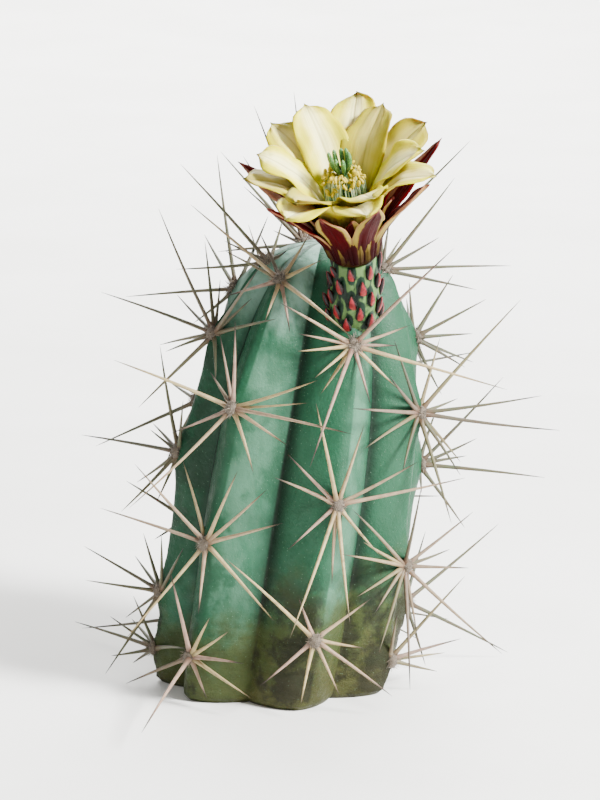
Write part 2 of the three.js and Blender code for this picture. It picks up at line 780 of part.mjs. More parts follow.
/** A straight rod between two points. */
function rod(from, to, radius, sides, tipRadius = radius) {
  const direction = to.clone().sub(from);
  const turn = new THREE.Quaternion().setFromUnitVectors(point(0, 1, 0), direction.clone().normalize());
  const geometry = new THREE.CylinderGeometry(tipRadius, radius, direction.length(), sides);
  return solid(geometry, new THREE.Matrix4().compose(from.clone().lerp(to, 0.5), turn, point(1, 1, 1)));
}

/** The style with its finger-like stigma lobes. */
function pistilSolid() {
  const { bottom, top, radius, sides } = PISTIL.style;
  const style = rod(point(0, 0, bottom), point(0, 0, top), radius, sides);
  const { length, radius: thick, spread, ring } = PISTIL.lobe;
  const lobes = turns(PISTIL.lobes).map((angle) => {
    const ray = point(Math.cos(angle), Math.sin(angle), 0);
    const foot = ray.clone().multiplyScalar(ring * 0.5).setZ(top - 0.8);
    const tip = foot.clone().addScaledVector(ray, length * Math.sin(radians(spread)))
      .add(point(0, 0, length * Math.cos(radians(spread))));
    return rod(foot, tip, thick, 5, thick * 0.7);
  });
  return wholeBody(fused([style, ...lobes])).transform(flowerMatrix.elements);
}

// ------------------------------------------------------------------ the plant

const stemRoom = solid(stemGeometry(GAP));

const plant = new THREE.Group();
plant.add(meshOf('stem', solid(stemGeometry()), COLOURS.stem, 0.6));
for (const cluster of growClusters()) {
  plant.add(meshOf(cluster.name, clusterSolid(cluster, stemRoom), COLOURS.spine, 0.5));
}
plant.add(meshOf('floral_tube', tubeSolid(stemRoom), COLOURS.tube, 0.6));
plant.add(meshOf('outer_tepals', petalLayer(OUTER), COLOURS.outer, 0.6));
plant.add(meshOf('inner_tepals', petalLayer(INNER), COLOURS.inner, 0.6));
plant.add(meshOf('stamens', stamensSolid(), COLOURS.stamens, 0.7));
plant.add(meshOf('pistil', pistilSolid(), COLOURS.pistil, 0.6));

export default plant;
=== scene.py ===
"""A hedgehog cactus with one yellow flower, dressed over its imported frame.

Sizes are in millimetres in the frame of the solids, with +Z up, the front facing -Y and the
origin in the middle of the flat foot. Bearings round the stem are in degrees from the front and
grow towards +X. Meshes are brought to metres when they are made.
"""

from __future__ import annotations

import enum
import json
import logging
import math
import random
from dataclasses import dataclass, field
from typing import Any, Sequence

import bmesh
import bpy
import numpy as np
from mathutils import Euler, Matrix, Vector

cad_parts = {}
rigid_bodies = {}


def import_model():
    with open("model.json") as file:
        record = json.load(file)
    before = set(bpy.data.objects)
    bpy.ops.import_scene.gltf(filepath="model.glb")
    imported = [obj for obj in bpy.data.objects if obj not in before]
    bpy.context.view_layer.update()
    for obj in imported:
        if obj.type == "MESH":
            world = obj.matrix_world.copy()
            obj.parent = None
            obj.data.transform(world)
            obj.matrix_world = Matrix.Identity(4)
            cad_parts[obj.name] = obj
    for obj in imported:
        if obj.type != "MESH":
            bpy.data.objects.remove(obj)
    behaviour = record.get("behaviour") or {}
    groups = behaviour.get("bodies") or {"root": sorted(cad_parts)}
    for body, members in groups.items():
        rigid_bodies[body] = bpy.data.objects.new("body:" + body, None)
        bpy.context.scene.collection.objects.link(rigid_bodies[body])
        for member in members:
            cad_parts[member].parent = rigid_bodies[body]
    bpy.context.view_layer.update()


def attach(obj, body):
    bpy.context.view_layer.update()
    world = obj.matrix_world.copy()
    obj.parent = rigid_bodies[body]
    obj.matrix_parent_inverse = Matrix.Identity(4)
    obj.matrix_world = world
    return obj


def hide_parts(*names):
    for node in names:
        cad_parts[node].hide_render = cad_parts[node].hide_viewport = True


LOG = logging.getLogger("cactus")

MM = 0.001
BODY = "root"
WELD = 0.000002

Colour = tuple[float, float, float, float]
Pair = tuple[float, float]
Seat = tuple[Matrix, Vector, float]


def colour(code: str) -> Colour:
    """Turn an sRGB code into a linear colour.

    Args:
        code: Six hexadecimal digits after a hash sign.

    Returns:
        Red, green, blue and a full alpha, linear.
    """
    channels = [int(code[place:place + 2], 16) / 255 for place in (1, 3, 5)]
    linear = [c / 12.92 if c <= 0.04045 else ((c + 0.055) / 1.055) ** 2.4 for c in channels]
    return (linear[0], linear[1], linear[2], 1.0)


def smooth(value: np.ndarray | float, low: float, high: float) -> np.ndarray | float:
    """Ease from 0 at one value to 1 at another.

    Args:
        value: One number or an array of them.
        low: Where the result is 0.
        high: Where the result is 1.

    Returns:
        The eased value, between 0 and 1.
    """
    step = np.clip((value - low) / (high - low), 0.0, 1.0)
    return step * step * (3 - 2 * step)


# ------------------------------------------------------------------ node graphs


class Graph:
    """Adds nodes to a node tree, and links them, in short calls."""

    def __init__(self, tree: bpy.types.NodeTree) -> None:
        """Keep the tree that the nodes go into.

        Args:
            tree: A shader or geometry node tree.
        """
        self.tree = tree

    def feed(self, socket: bpy.types.NodeSocket, value: Any) -> None:
        """Link a socket, or set it to a fixed value.

        Args:
            socket: The input to fill.
            value: Another node's output, or a plain value.
        """
        if isinstance(value, bpy.types.NodeSocket):
            self.tree.links.new(value, socket)
        else:
            socket.default_value = value

    def add(self, kind: str, *values: Any, **settings: Any) -> bpy.types.Node:
        """Add a node with its first inputs and its settings.

        Args:
            kind: Blender's name of the node type.
            values: What goes into its inputs, in order; None leaves one alone.
            settings: Properties of the node itself.

        Returns:
            The new node.
        """
        node = self.tree.nodes.new(kind)
        for name, value in settings.items():
            setattr(node, name, value)
        for socket, value in zip(node.inputs, values):
            if value is not None:
                self.feed(socket, value)
        return node

    def maths(self, operation: str, *values: Any) -> bpy.types.NodeSocket:
        """Return the result of one operation on numbers."""
        return self.add("ShaderNodeMath", *values, operation=operation).outputs[0]

    def times(self, first: Any, second: Any) -> bpy.types.NodeSocket:
        """Return the product of two numbers."""
        return self.maths("MULTIPLY", first, second)

    def plus(self, *values: Any) -> bpy.types.NodeSocket:
        """Add several numbers.

        Args:
            values: The numbers.

        Returns:
            The output with their sum.
        """
        result = values[0]
        for value in values[1:]:
            result = self.maths("ADD", result, value)
        return result

    def minus(self, first: Any, second: Any) -> bpy.types.NodeSocket:
        """Return the first number less the second."""
        return self.maths("SUBTRACT", first, second)

    def vector(self, operation: str, *values: Any) -> bpy.types.NodeSocket:
        """Return the vector that one operation on vectors gives."""
        return self.add("ShaderNodeVectorMath", *values, operation=operation).outputs[0]

    def joined(self, x: Any, y: Any, z: Any) -> bpy.types.NodeSocket:
        """Return one vector from three numbers."""
        return self.add("ShaderNodeCombineXYZ", x, y, z).outputs[0]

    def scaled(self, vector: Any, factor: Any) -> bpy.types.NodeSocket:
        """Return a vector times a number."""
        node = self.add("ShaderNodeVectorMath", vector, None, None, factor, operation="SCALE")
        return node.outputs[0]

    def total(self, *vectors: Any) -> bpy.types.NodeSocket:
        """Add several vectors.

        Args:
            vectors: The vectors.

        Returns:
            The output with their sum.
        """
        result = vectors[0]
        for vector in vectors[1:]:
            result = self.vector("ADD", result, vector)
        return result

    def eased(self, value: Any, low: float, high: float, start: Any = 0.0, end: Any = 1.0) -> Any:
        """Ease a value from one range to another.

        Args:
            value: The number to read.
            low: Where the result is start.
            high: Where the result is end.
            start: The first result.
            end: The last result.

        Returns:
            The output with the eased value.
        """
        node = self.add("ShaderNodeMapRange", value, low, high, start, end)
        node.interpolation_type = "SMOOTHSTEP"
        return node.outputs[0]


class Shape(Graph):
    """A Geometry Nodes tree that is run once and leaves a plain mesh."""

    def __init__(self, name: str) -> None:
        """Start the tree with its geometry in and out.

        Args:
            name: Name of the tree.
        """
        super().__init__(bpy.data.node_groups.new(name, "GeometryNodeTree"))
        for way in ("INPUT", "OUTPUT"):
            self.tree.interface.new_socket("Geometry", in_out=way, socket_type="NodeSocketGeometry")
        self.entry = self.add("NodeGroupInput")
        self.source = self.entry.outputs[0]
        self.sockets: dict[str, str] = {}

    def size(self, name: str, kind: str, value: Any = None) -> bpy.types.NodeSocket:
        """Add a named input.

        Args:
            name: What the input is called.
            kind: Float, Int, Vector, Bool or Object.
            value: Its value where a run gives none.

        Returns:
            The output of the group's entry that carries it.
        """
        kind = f"NodeSocket{kind}"
        socket = self.tree.interface.new_socket(name, in_out="INPUT", socket_type=kind)
        if value is not None:
            socket.default_value = value
        self.sockets[name] = socket.identifier
        return self.entry.outputs[name]

    def named(self, name: str, kind: str = "FLOAT") -> bpy.types.NodeSocket:
        """Return the field of a stored attribute."""
        return self.add("GeometryNodeInputNamedAttribute", name, data_type=kind).outputs[0]

    def stored(self, geometry: Any, name: str, value: Any, kind: str = "FLOAT") -> Any:
        """Store a field on the geometry's points.

        Args:
            geometry: The geometry to store it on.
            name: Name of the attribute.
            value: The field.
            kind: Blender's data type.

        Returns:
            The geometry with the attribute.
        """
        node = self.add("GeometryNodeStoreNamedAttribute", geometry, None, name, data_type=kind)
        self.feed(node.inputs["Value"], value)
        return node.outputs[0]

    def together(self, *geometries: Any) -> bpy.types.NodeSocket:
        """Join several geometries into one.

        Args:
            geometries: The parts.

        Returns:
            The output with all of them.
        """
        node = self.add("GeometryNodeJoinGeometry")
        for geometry in geometries:
            self.tree.links.new(geometry, node.inputs[0])
        return node.outputs[0]

    def close(self, geometry: Any, material: bpy.types.Material) -> None:
        """End the tree: real geometry, smooth faces and one finish.

        Args:
            geometry: What the tree has made.
            material: The finish of all its faces.
        """
        real = self.add("GeometryNodeRealizeInstances", geometry).outputs[0]
        even = self.add("GeometryNodeSetShadeSmooth", real, None, True).outputs[0]
        finished = self.add("GeometryNodeSetMaterial", even, None, material).outputs[0]
        self.add("NodeGroupOutput", finished)

    def run(self, mesh: bpy.types.Mesh, **values: Any) -> bpy.types.Mesh:
        """Run the tree on a mesh.

        Args:
            mesh: What goes into the tree; it is used up.
            values: Named inputs, with spaces written as underscores.

        Returns:
            The tree's result as a plain mesh.
        """
        carrier = linked("carrier", mesh)
        modifier = carrier.modifiers.new("shape", "NODES")
        modifier.node_group = self.tree
        for name, value in values.items():
            modifier[self.sockets[name.replace("_", " ")]] = value
        graph = bpy.context.evaluated_depsgraph_get()
        result = bpy.data.meshes.new_from_object(carrier.evaluated_get(graph), depsgraph=graph)
        carrier.modifiers.remove(modifier)
        bpy.data.objects.remove(carrier)
        bpy.data.meshes.remove(mesh)
        return result


class Paint(Graph):
    """The shader graph of one finish, with lengths in millimetres."""

    def __init__(self, name: str) -> None:
        """Make a material with an empty principled shader.

        Args:
            name: Name of the material.
        """
        self.material = bpy.data.materials.new(name)
        self.material.use_nodes = True
        super().__init__(self.material.node_tree)
        self.shader = self.tree.nodes["Principled BSDF"]
        self.spot = self.scaled(self.add("ShaderNodeTexCoord").outputs["Object"], 1 / MM)

    def attribute(self, name: str) -> bpy.types.NodeSocket:
        """Return a number that is stored on the surface."""
        return self.add("ShaderNodeAttribute", attribute_name=name).outputs["Fac"]

    def noise(self, scale: float, detail: float = 3.0, rough: float = 0.55, at: Any = None) -> Any:
        """Return smooth noise from 0 to 1.

        Args:
            scale: Features for each millimetre.
            detail: Octaves of finer noise.
            rough: Strength of the finer noise.
            at: Where to read it; the place on the piece if left out.

        Returns:
            The output with the noise.
        """
        place = self.spot if at is None else at
        return self.add("ShaderNodeTexNoise", place, None, scale, detail, rough).outputs[0]

    def cells(self, scale: float) -> bpy.types.NodeSocket:
        """Return the distance to the nearest of many scattered dots."""
        return self.add("ShaderNodeTexVoronoi", self.spot, None, scale).outputs["Distance"]

    def stretched(self, x: float, y: float, z: float) -> bpy.types.NodeSocket:
        """Return the place on the piece, multiplied by three factors."""
        return self.vector("MULTIPLY", self.spot, (x, y, z))

    def blend(self, factor: Any, first: Any, second: Any) -> bpy.types.NodeSocket:
        """Mix two colours.

        Args:
            factor: Share of the second colour.
            first: Colour, or hexadecimal code.
            second: Colour, or hexadecimal code.

        Returns:
            The output with the mixed colour.
        """
        node = self.add("ShaderNodeMix", data_type="RGBA")
        self.feed(node.inputs[0], factor)
        for index, value in ((6, first), (7, second)):
            self.feed(node.inputs[index], colour(value) if isinstance(value, str) else value)
        return node.outputs[2]

    def over(self, body: Any, coat: Any, value: Any, *span: Any) -> bpy.types.NodeSocket:
        """Lay one colour over another where a number says so.

        Args:
            body: The colour below.
            coat: The colour above.
            value: The number to read.
            span: Two of its values and, if not 0 and 1, the coat's share at each.

        Returns:
            The output with the mixed colour.
        """
        return self.blend(self.eased(value, *span), body, coat)

    def close(self, base: Any, rough: Any, relief: Any = None, depth: float = 0.1,
              **fixed: Any) -> bpy.types.Material:
        """End the graph in its shader.

        Args:
            base: The colour.
            rough: Roughness, a number or an output.
            relief: Height of the fine relief, from 0 to 1.
            depth: How high the relief stands, in millimetres.
            fixed: Values for the shader's own inputs, with spaces written as underscores.

        Returns:
            The finished material.
        """
        self.feed(self.shader.inputs["Base Color"], base)
        self.feed(self.shader.inputs["Roughness"], rough)
        if relief is not None:
            bump = self.add("ShaderNodeBump")
            self.feed(bump.inputs["Height"], relief)
            bump.inputs["Distance"].default_value = depth * MM
            bump.inputs["Strength"].default_value = 1.0
            self.feed(self.shader.inputs["Normal"], bump.outputs[0])
        for name, value in fixed.items():
            self.shader.inputs[name.replace("_", " ")].default_value = value
        return self.material


# --------------------------------------------------------------------- finishes


@dataclass(frozen=True)
class StemFinish:
    """Waxy blue-green skin with painted light and shade on the rib flanks and painted shade in the
    grooves, corky and olive at the foot.
    """

    skin: str = "#1a4b34"
    deep: str = "#0e3c25"
    bloom_and_light: str = "#476e58"
    crown_highlight: str = "#86a698"
    groove_shadow: str = "#021007"
    side_shade: str = "#03200e"
    olive: str = "#343b16"
    cork: str = "#3d3d1c"
    stain_and_shade: str = "#0c0803"
    speck: str = "#6a8a70"
    lean: float = 9.2

    def make(self) -> bpy.types.Material:
        """Make the finish of the stem's skin.

        Returns:
            Its material.
        """
        paint = Paint("stem_skin")
        level = paint.attribute("level")
        # 1 on the flanks with painted light, 0 on those in painted shade.
        waxed = paint.attribute("waxed")
        sideways = paint.add("ShaderNodeSeparateXYZ", paint.spot).outputs[0]
        skin = self.fresh(paint, level, waxed, sideways)
        skin = self.aged(paint, skin, level, waxed, sideways)
        dots = paint.eased(paint.cells(1.15), 0.06, 0.16, 1.0, 0.0)
        skin = paint.blend(paint.times(dots, 0.24), skin, self.speck)
        grain = paint.plus(paint.noise(1.6, 5.0, 0.6), paint.times(dots, 0.25))
        scurf = paint.times(paint.noise(0.9, 6.0, 0.75, paint.stretched(0.6, 0.6, 2.2)),
                            paint.eased(level, 0.08, 0.3, 2.4, 0.0))
        rough = paint.eased(paint.noise(0.5, 4.0, 0.6), 0.3, 0.7, 0.46, 0.66)
        return paint.close(skin, rough, paint.plus(grain, scurf), 0.16, Subsurface_Weight=0.04,
                           Subsurface_Scale=0.0015, Specular_IOR_Level=0.18)

    def fresh(self, paint: Paint, level: Any, waxed: Any, sideways: Any) -> bpy.types.NodeSocket:
        """Colour the living skin: glaucous patches, painted light on the lit flanks and the top,
        and painted shade on the other flanks, the left side, the grooves and round the areoles.

        Args:
            paint: The graph.
            level: Height as a share of the whole.
            waxed: 1 on the flanks that carry painted light.
            sideways: Millimetres to the right of the middle.

        Returns:
            The output with the colour.
        """
        crest = paint.attribute("crest")
        wide = paint.noise(0.055, 3.0, 0.5)
        wash = paint.noise(0.16, 4.0, 0.6, paint.stretched(1.0, 1.0, 0.45))
        # Painted shade: the flanks without painted light lean to the deep colour.
        shown = paint.times(paint.eased(wide, 0.34, 0.6), paint.eased(waxed, 0.0, 1.0, 0.25, 1.0))
        skin = paint.blend(shown, self.deep, self.skin)
        # Glaucous patches, kept mostly to the flanks with painted light and fainter down the left
        # side: real colour and painted light together.
        bloom_and_light = paint.times(paint.eased(wash, 0.32, 0.58, 0.2, 1.0),
                            paint.eased(crest, 0.0, 0.5, 0.3, 0.76))
        bloom_and_light = paint.times(bloom_and_light, paint.eased(sideways, -19.0, -8.0, 0.3, 1.0))
        bloom_and_light = paint.times(bloom_and_light, paint.eased(waxed, 0.0, 1.0, 0.2, 1.0))
        skin = paint.blend(bloom_and_light, skin, self.bloom_and_light)
        # Painted shade down the left side of the stem, from halfway up.
        leaned = paint.minus(sideways, paint.times(level, self.lean))
        shaded = paint.times(paint.eased(leaned, -20.0, -13.0, 0.85, 0.0),
                             paint.eased(level, 0.2, 0.46, 0.1, 1.0))
        skin = paint.blend(shaded, skin, self.side_shade)
        # Dark blotches at random, stronger towards the left side, which makes them partly painted
        # shade.
        mottle_and_shade = paint.times(paint.eased(paint.noise(0.1, 5.0, 0.62), 0.5, 0.62),
                             paint.eased(sideways, -16.0, 4.0, 0.8, 0.4))
        skin = paint.blend(mottle_and_shade, skin, self.deep)
        # Painted highlight on the top of the stem, on the flanks with painted light.
        crown_light = paint.times(paint.eased(level, 0.8, 0.94, 0.0, 0.7), paint.eased(wash, 0.3, 0.55))
        skin = paint.blend(paint.times(crown_light, waxed), skin, self.crown_highlight)
        # Painted shade in the grooves, weaker on the flanks with painted light and on the top.
        groove_shade = paint.times(paint.eased(crest, 0.0, 0.34, 0.85, 0.0),
                             paint.eased(crown_light, 0.0, 0.5, 1.0, 0.3))
        lit = paint.eased(waxed, 0.0, 1.0, 1.0, 0.5)
        skin = paint.blend(paint.times(groove_shade, lit), skin, self.groove_shadow)
        # Painted shade round each areole, under its pad and spines.
        return paint.over(skin, self.deep, paint.attribute("areole"), 1.6, 4.6, 0.55, 0.0)

    def aged(self, paint: Paint, skin: Any, level: Any, waxed: Any,
             sideways: Any) -> bpy.types.NodeSocket:
        """Lay the olive, the cork and the dark blots of old skin over the foot, the blots heavier
        on the flanks without painted light and so partly painted shade.

        Args:
            paint: The graph.
            skin: Colour of the living skin.
            level: Height as a share of the whole.
            waxed: 1 on the flanks that carry painted light.
            sideways: Millimetres to the right of the middle.

        Returns:
            The output with the colour.
        """
        age = paint.plus(level, paint.eased(sideways, -17.0, 5.0, 0.11, 0.0))
        ragged = paint.plus(age, paint.times(paint.noise(0.12, 4.0, 0.6), -0.36))
        skin = paint.over(skin, self.olive, ragged, -0.02, 0.16, 0.92, 0.0)
        blot = paint.plus(age, paint.times(paint.noise(0.2, 5.0, 0.65), -0.3))
        skin = paint.over(skin, self.cork, blot, -0.1, 0.0, 0.8, 0.0)
        # Dark blots, heavier on the flanks without painted light: old skin and painted shade
        # together.
        stains_and_shade = paint.times(paint.eased(paint.noise(0.13, 5.0, 0.65), 0.42, 0.56),
                             paint.eased(waxed, 0.0, 1.0, 0.9, 0.2))
        stains_and_shade = paint.times(stains_and_shade, paint.eased(age, 0.22, 0.36, 0.8, 0.0))
        return paint.blend(stains_and_shade, skin, self.stain_and_shade)


@dataclass(frozen=True)
class SpineFinish:
    """Dry horn-like needles: rosy at the base, cream along, dark at the point."""

    base: str = "#5c4234"
    cream: str = "#a6956a"
    rosy: str = "#947b6c"
    grey: str = "#2e3b2c"
    tip: str = "#100b08"

    def make(self) -> bpy.types.Material:
        """Make the finish of the needles.

        Returns:
            Its material.
        """
        paint = Paint("spine_horn")
        along = paint.attribute("along")
        tone = paint.attribute("tone")
        body = paint.over(self.cream, self.rosy, tone, 0.2, 0.9)
        body = paint.over(body, self.grey, paint.attribute("shade"), 0.2, 0.9, 0.0, 0.88)
        worn = paint.noise(0.6, 3.0, 0.6)
        body = paint.over(body, self.base, worn, 0.35, 0.75, 0.0, 0.45)
        body = paint.over(body, self.base, along, 0.02, 0.2, 0.7, 0.0)
        turned = paint.plus(along, paint.times(paint.minus(tone, 0.5), 0.16))
        body = paint.over(body, self.tip, turned, 0.66, 0.98, 0.0, 0.95)
        fibre = paint.noise(2.2, 4.0, 0.6)
        rough = paint.eased(fibre, 0.3, 0.7, 0.42, 0.62)
        return paint.close(body, rough, fibre, 0.04, Subsurface_Weight=0.05,
                           Subsurface_Scale=0.0006, Specular_IOR_Level=0.25)


@dataclass(frozen=True)
class FeltFinish:
    """Short grey and cream wool of the areoles."""

    wool: str = "#8f8270"
    old: str = "#40362b"

    def make(self) -> bpy.types.Material:
        """Make the finish of the felt.

        Returns:
            Its material.
        """
        paint = Paint("areole_felt")
        body = paint.over(self.old, self.wool, paint.attribute("tone"), 0.1, 0.9)
        tuft = paint.noise(1.4, 3.0, 0.6)
        body = paint.over(body, self.old, tuft, 0.4, 0.8, 0.0, 0.5)
        return paint.close(body, 0.88, tuft, 0.1, Sheen_Weight=0.1, Sheen_Roughness=0.6)


@dataclass(frozen=True)
class TubeFinish:
    """Dark green wall of the flower's tube with paler ridges."""

    wall: str = "#042513"
    ridge: str = "#4c6838"
    shade: str = "#02150b"

    def make(self) -> bpy.types.Material:
        """Make the finish of the tube's wall.

        Returns:
            Its material.
        """
        paint = Paint("tube_wall")
        apart = paint.attribute("apart")
        streak = paint.noise(0.5, 4.0, 0.6, paint.stretched(1.6, 1.6, 0.4))
        body = paint.over(self.shade, self.wall, streak, 0.35, 0.65)
        lit = paint.plus(apart, paint.times(paint.minus(streak, 0.5), 2.6))
        body = paint.over(body, self.ridge, lit, 0.7, 1.1)
        grain = paint.noise(2.5, 4.0, 0.6)
        rough = paint.eased(grain, 0.3, 0.7, 0.4, 0.58)
        return paint.close(body, rough, grain, 0.06, Subsurface_Weight=0.04, Subsurface_Scale=0.001,
                           Specular_IOR_Level=0.18)


@dataclass(frozen=True)
class ScaleFinish:
    """Rose-red fleshy scales of the tube with dark rims."""

    flesh: str = "#5e0209"
    light: str = "#860e1c"
    rim: str = "#0c0102"
    foot: str = "#8a3a34"

    def make(self) -> bpy.types.Material:
        """Make the finish of the scales.

        Returns:
            Its material.
        """
        paint = Paint("tube_scale")
        along = paint.attribute("along")
        across = paint.maths("ABSOLUTE", paint.attribute("across"))
        body = paint.over(self.flesh, self.light, paint.noise(1.0, 3.0, 0.6), 0.42, 0.7)
        body = paint.over(body, self.foot, along, 0.16, 0.5, 0.8, 0.0)
        body = paint.over(body, self.rim, across, 0.45, 0.8, 0.0, 1.0)
        body = paint.over(body, self.rim, along, 0.86, 1.0, 0.0, 0.9)
        body = paint.over(body, self.rim, along, 0.04, 0.16, 1.0, 0.0)
        grain = paint.noise(3.0, 3.0, 0.6)
        return paint.close(body, 0.4, grain, 0.04, Subsurface_Weight=0.08, Subsurface_Scale=0.001,
                           Specular_IOR_Level=0.25)


@dataclass(frozen=True)
class PetalFinish:
    """Thin silky petals with veins, coloured margins, a back of another colour and a band along the
    middle, dark on the outer petals and pale, partly a painted highlight, on the inner ones.
    """

    name: str
    inside: tuple[str, str]
    outside: tuple[str, str]
    margin: Pair
    foot: str
    tip: str
    vein: str
    stripe_and_highlight: str
    stripe_and_highlight_share: float
    tip_start: float
    foot_end: float
    drift: float = 0.5
    glow: float = 0.12
    gloss: float = 0.15
    skew: float = 0.0

    def make(self) -> bpy.types.Material:
        """Make the finish of one kind of petal.

        Returns:
            Its material.
        """
        paint = Paint(self.name)
        side = paint.attribute("across")
        along = paint.attribute("along")
        tone = paint.attribute("tone")
        shift = paint.times(paint.minus(tone, 0.5), self.skew)
        across = paint.maths("ABSOLUTE", paint.plus(side, shift))
        face = paint.attribute("face")
        wash = paint.minus(paint.noise(0.22, 4.0, 0.6), 0.5)
        edge = paint.plus(across, paint.times(wash, self.drift))
        rim = paint.eased(edge, *self.margin)
        inside = paint.blend(rim, *self.inside)
        # A band along the middle: darker on the outer petals, pale and partly a painted highlight
        # on the inner ones.
        stripe_and_highlight = paint.times(paint.eased(edge, 0.1, 0.62, self.stripe_and_highlight_share, 0.0),
                             paint.eased(tone, 0.2, 0.9, 1.0, 0.35))
        inside = paint.blend(stripe_and_highlight, inside, self.stripe_and_highlight)
        body = paint.blend(face, paint.blend(rim, *self.outside), inside)
        deep = paint.plus(along, paint.times(wash, 0.3))
        body = paint.over(body, self.foot, deep, 0.0, self.foot_end, 0.95, 0.0)
        body = paint.over(body, self.tip, deep, self.tip_start, 1.02, 0.0, 0.85)
        lanes = paint.noise(1.0, 3.0, 0.5, paint.joined(paint.times(side, 9.0),
                                                       paint.times(along, 1.1),
                                                       paint.times(tone, 37.0)))
        midrib = paint.eased(across, 0.0, 0.08, 0.8, 0.0)
        lines = paint.maths("MAXIMUM", paint.eased(lanes, 0.5, 0.72, 0.0, 0.42), midrib)
        body = paint.blend(paint.times(lines, 0.4), body, self.vein)
        body = paint.over(body, self.foot, tone, 0.2, 1.0, 0.0, 0.5)
        relief = paint.minus(lanes, paint.times(midrib, 0.6))
        return paint.close(body, 0.5, relief, 0.12, Subsurface_Weight=self.glow,
                           Subsurface_Scale=0.001, Specular_IOR_Level=self.gloss)


@dataclass(frozen=True)
class PollenFinish:
    """Filaments that pale upwards, and anthers full of yellow pollen."""

    low: str = "#4f8070"
    high: str = "#a3b58c"
    pollen: str = "#d0bc00"
    crumb: str = "#a89200"

    def filament(self) -> bpy.types.Material:
        """Make the finish of the filaments.

        Returns:
            Its material.
        """
        paint = Paint("filament")
        body = paint.over(self.low, self.high, paint.attribute("along"), 0.1, 0.9)
        body = paint.over(body, self.low, paint.noise(0.8), 0.4, 0.8, 0.0, 0.4)
        return paint.close(body, 0.5, Subsurface_Weight=0.15, Subsurface_Scale=0.0005)

    def anther(self) -> bpy.types.Material:
        """Make the finish of the anthers.

        Returns:
            Its material.
        """
        paint = Paint("anther")
        grain = paint.noise(5.0, 3.0, 0.7)
        body = paint.over(self.crumb, self.pollen, grain, 0.4, 0.7)
        body = paint.over(body, self.high, paint.attribute("tone"), 0.0, 1.0, 0.0, 0.1)
        return paint.close(body, 0.8, grain, 0.12)


@dataclass(frozen=True)
class StigmaFinish:
    """Green style and plump lobes with a velvet of small warts."""

    flesh: str = "#3f7034"
    light: str = "#94b474"
    deep: str = "#0c3a1c"

    def make(self) -> bpy.types.Material:
        """Make the finish of the pistil.

        Returns:
            Its material.
        """
        paint = Paint("stigma")
        warts = paint.cells(3.2)
        body = paint.over(self.deep, self.flesh, paint.attribute("along"), 0.1, 0.9)
        body = paint.over(body, self.light, warts, 0.1, 0.45, 0.75, 0.0)
        return paint.close(body, 0.5, paint.times(warts, -1.0), 0.12,
                           Subsurface_Weight=0.15, Subsurface_Scale=0.0008)


@dataclass(frozen=True)
class FloorFinish:
    """Plain pale paper."""

    paper: str = "#f4f3ef"
    shade: str = "#eeede8"

    def make(self) -> bpy.types.Material:
        """Make the finish of the floor.

        Returns:
            Its material.
        """
        paint = Paint("pale_floor")
        fibre = paint.noise(0.02, 3.0, 0.5)
        body = paint.over(self.paper, self.shade, fibre, 0.3, 0.7)
        return paint.close(body, 0.85, paint.noise(0.5, 3.0, 0.6), 0.02)


# ----------------------------------------------------------------------- pieces


class Slot(enum.Enum):
    """The record's material slots."""

    STEM = "stem_skin"
    SPINE = "spine"
    TUBE = "tube_skin"
    OUTER = "outer_tepal"
    INNER = "inner_tepal"
    STAMEN = "stamen"
    STIGMA = "stigma"


def to_mesh(
    name: str,
    points: Sequence[Sequence[float]] | np.ndarray,
    faces: Sequence[Sequence[int]] = (),
    edges: Sequence[Sequence[int]] = (),
    **fields: Any,
) -> bpy.types.Mesh:
    """Make a mesh from points in millimetres.

    Args:
        name: Name of the mesh.
        points: Its vertices.
        faces: Vertex indices of each face.
        edges: Vertex indices of each loose edge.
        fields: Numbers or vectors for each vertex, stored as attributes.

    Returns:
        The mesh, in metres.
    """
    mesh = bpy.data.meshes.new(name)
    places = (np.asarray(points, dtype=float) * MM).tolist()
    mesh.from_pydata(places, [tuple(edge) for edge in edges], [tuple(face) for face in faces])
    for title, values in fields.items():
        data = np.asarray(values, dtype=np.float32)
        kind, key = ("FLOAT", "value") if data.ndim == 1 else ("FLOAT_VECTOR", "vector")
        layer = mesh.attributes.new(title, kind, "POINT")
        layer.data.foreach_set(key, data.ravel())
    mesh.update()
    return mesh


def fused(name: str, meshes: Sequence[bpy.types.Mesh]) -> bpy.types.Mesh:
    """Join meshes into one, and keep their attributes and finishes.

    Args:
        name: Name of the new mesh.
        meshes: The parts; they are used up.

    Returns:
        The joined mesh.
    """
    holders = [linked(name, mesh) for mesh in meshes]
    if len(holders) > 1:
        with bpy.context.temp_override(active_object=holders[0], selected_editable_objects=holders):
            bpy.ops.object.join()
    result = holders[0].data
    result.name = name
    bpy.data.objects.remove(holders[0])
    return result


def linked(name: str, data: bpy.types.ID) -> bpy.types.Object:
    """Put a new object in the scene.

    Args:
        name: Name of the object.
        data: Its mesh, lamp or camera.

    Returns:
        The new object.
    """
    item = bpy.data.objects.new(name, data)
    bpy.context.scene.collection.objects.link(item)
    return item


def show(name: str, mesh: bpy.types.Mesh, slot: Slot, *nodes: str) -> bpy.types.Object:
    """Put a finished mesh in the scene for the nodes that it stands for.

    Args:
        name: Name of the piece.
        mesh: Its mesh, in place.
        slot: The record's slot for the piece; not used.
        nodes: The nodes of the frame that it replaces.

    Returns:
        The new object.
    """
    piece = linked(name, mesh)
    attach(piece, BODY)
    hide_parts(*nodes)
    LOG.info("%s: %d faces, stands for %s", name, len(mesh.polygons), ", ".join(nodes))
    return piece


def dressed(mesh: bpy.types.Mesh, material: bpy.types.Material) -> bpy.types.Mesh:
    """Shade a mesh smooth, and give it its finish.

    Args:
        mesh: The mesh.
        material: Its finish.

    Returns:
        The same mesh.
    """
    mesh.shade_smooth()
    mesh.materials.append(material)
    return mesh


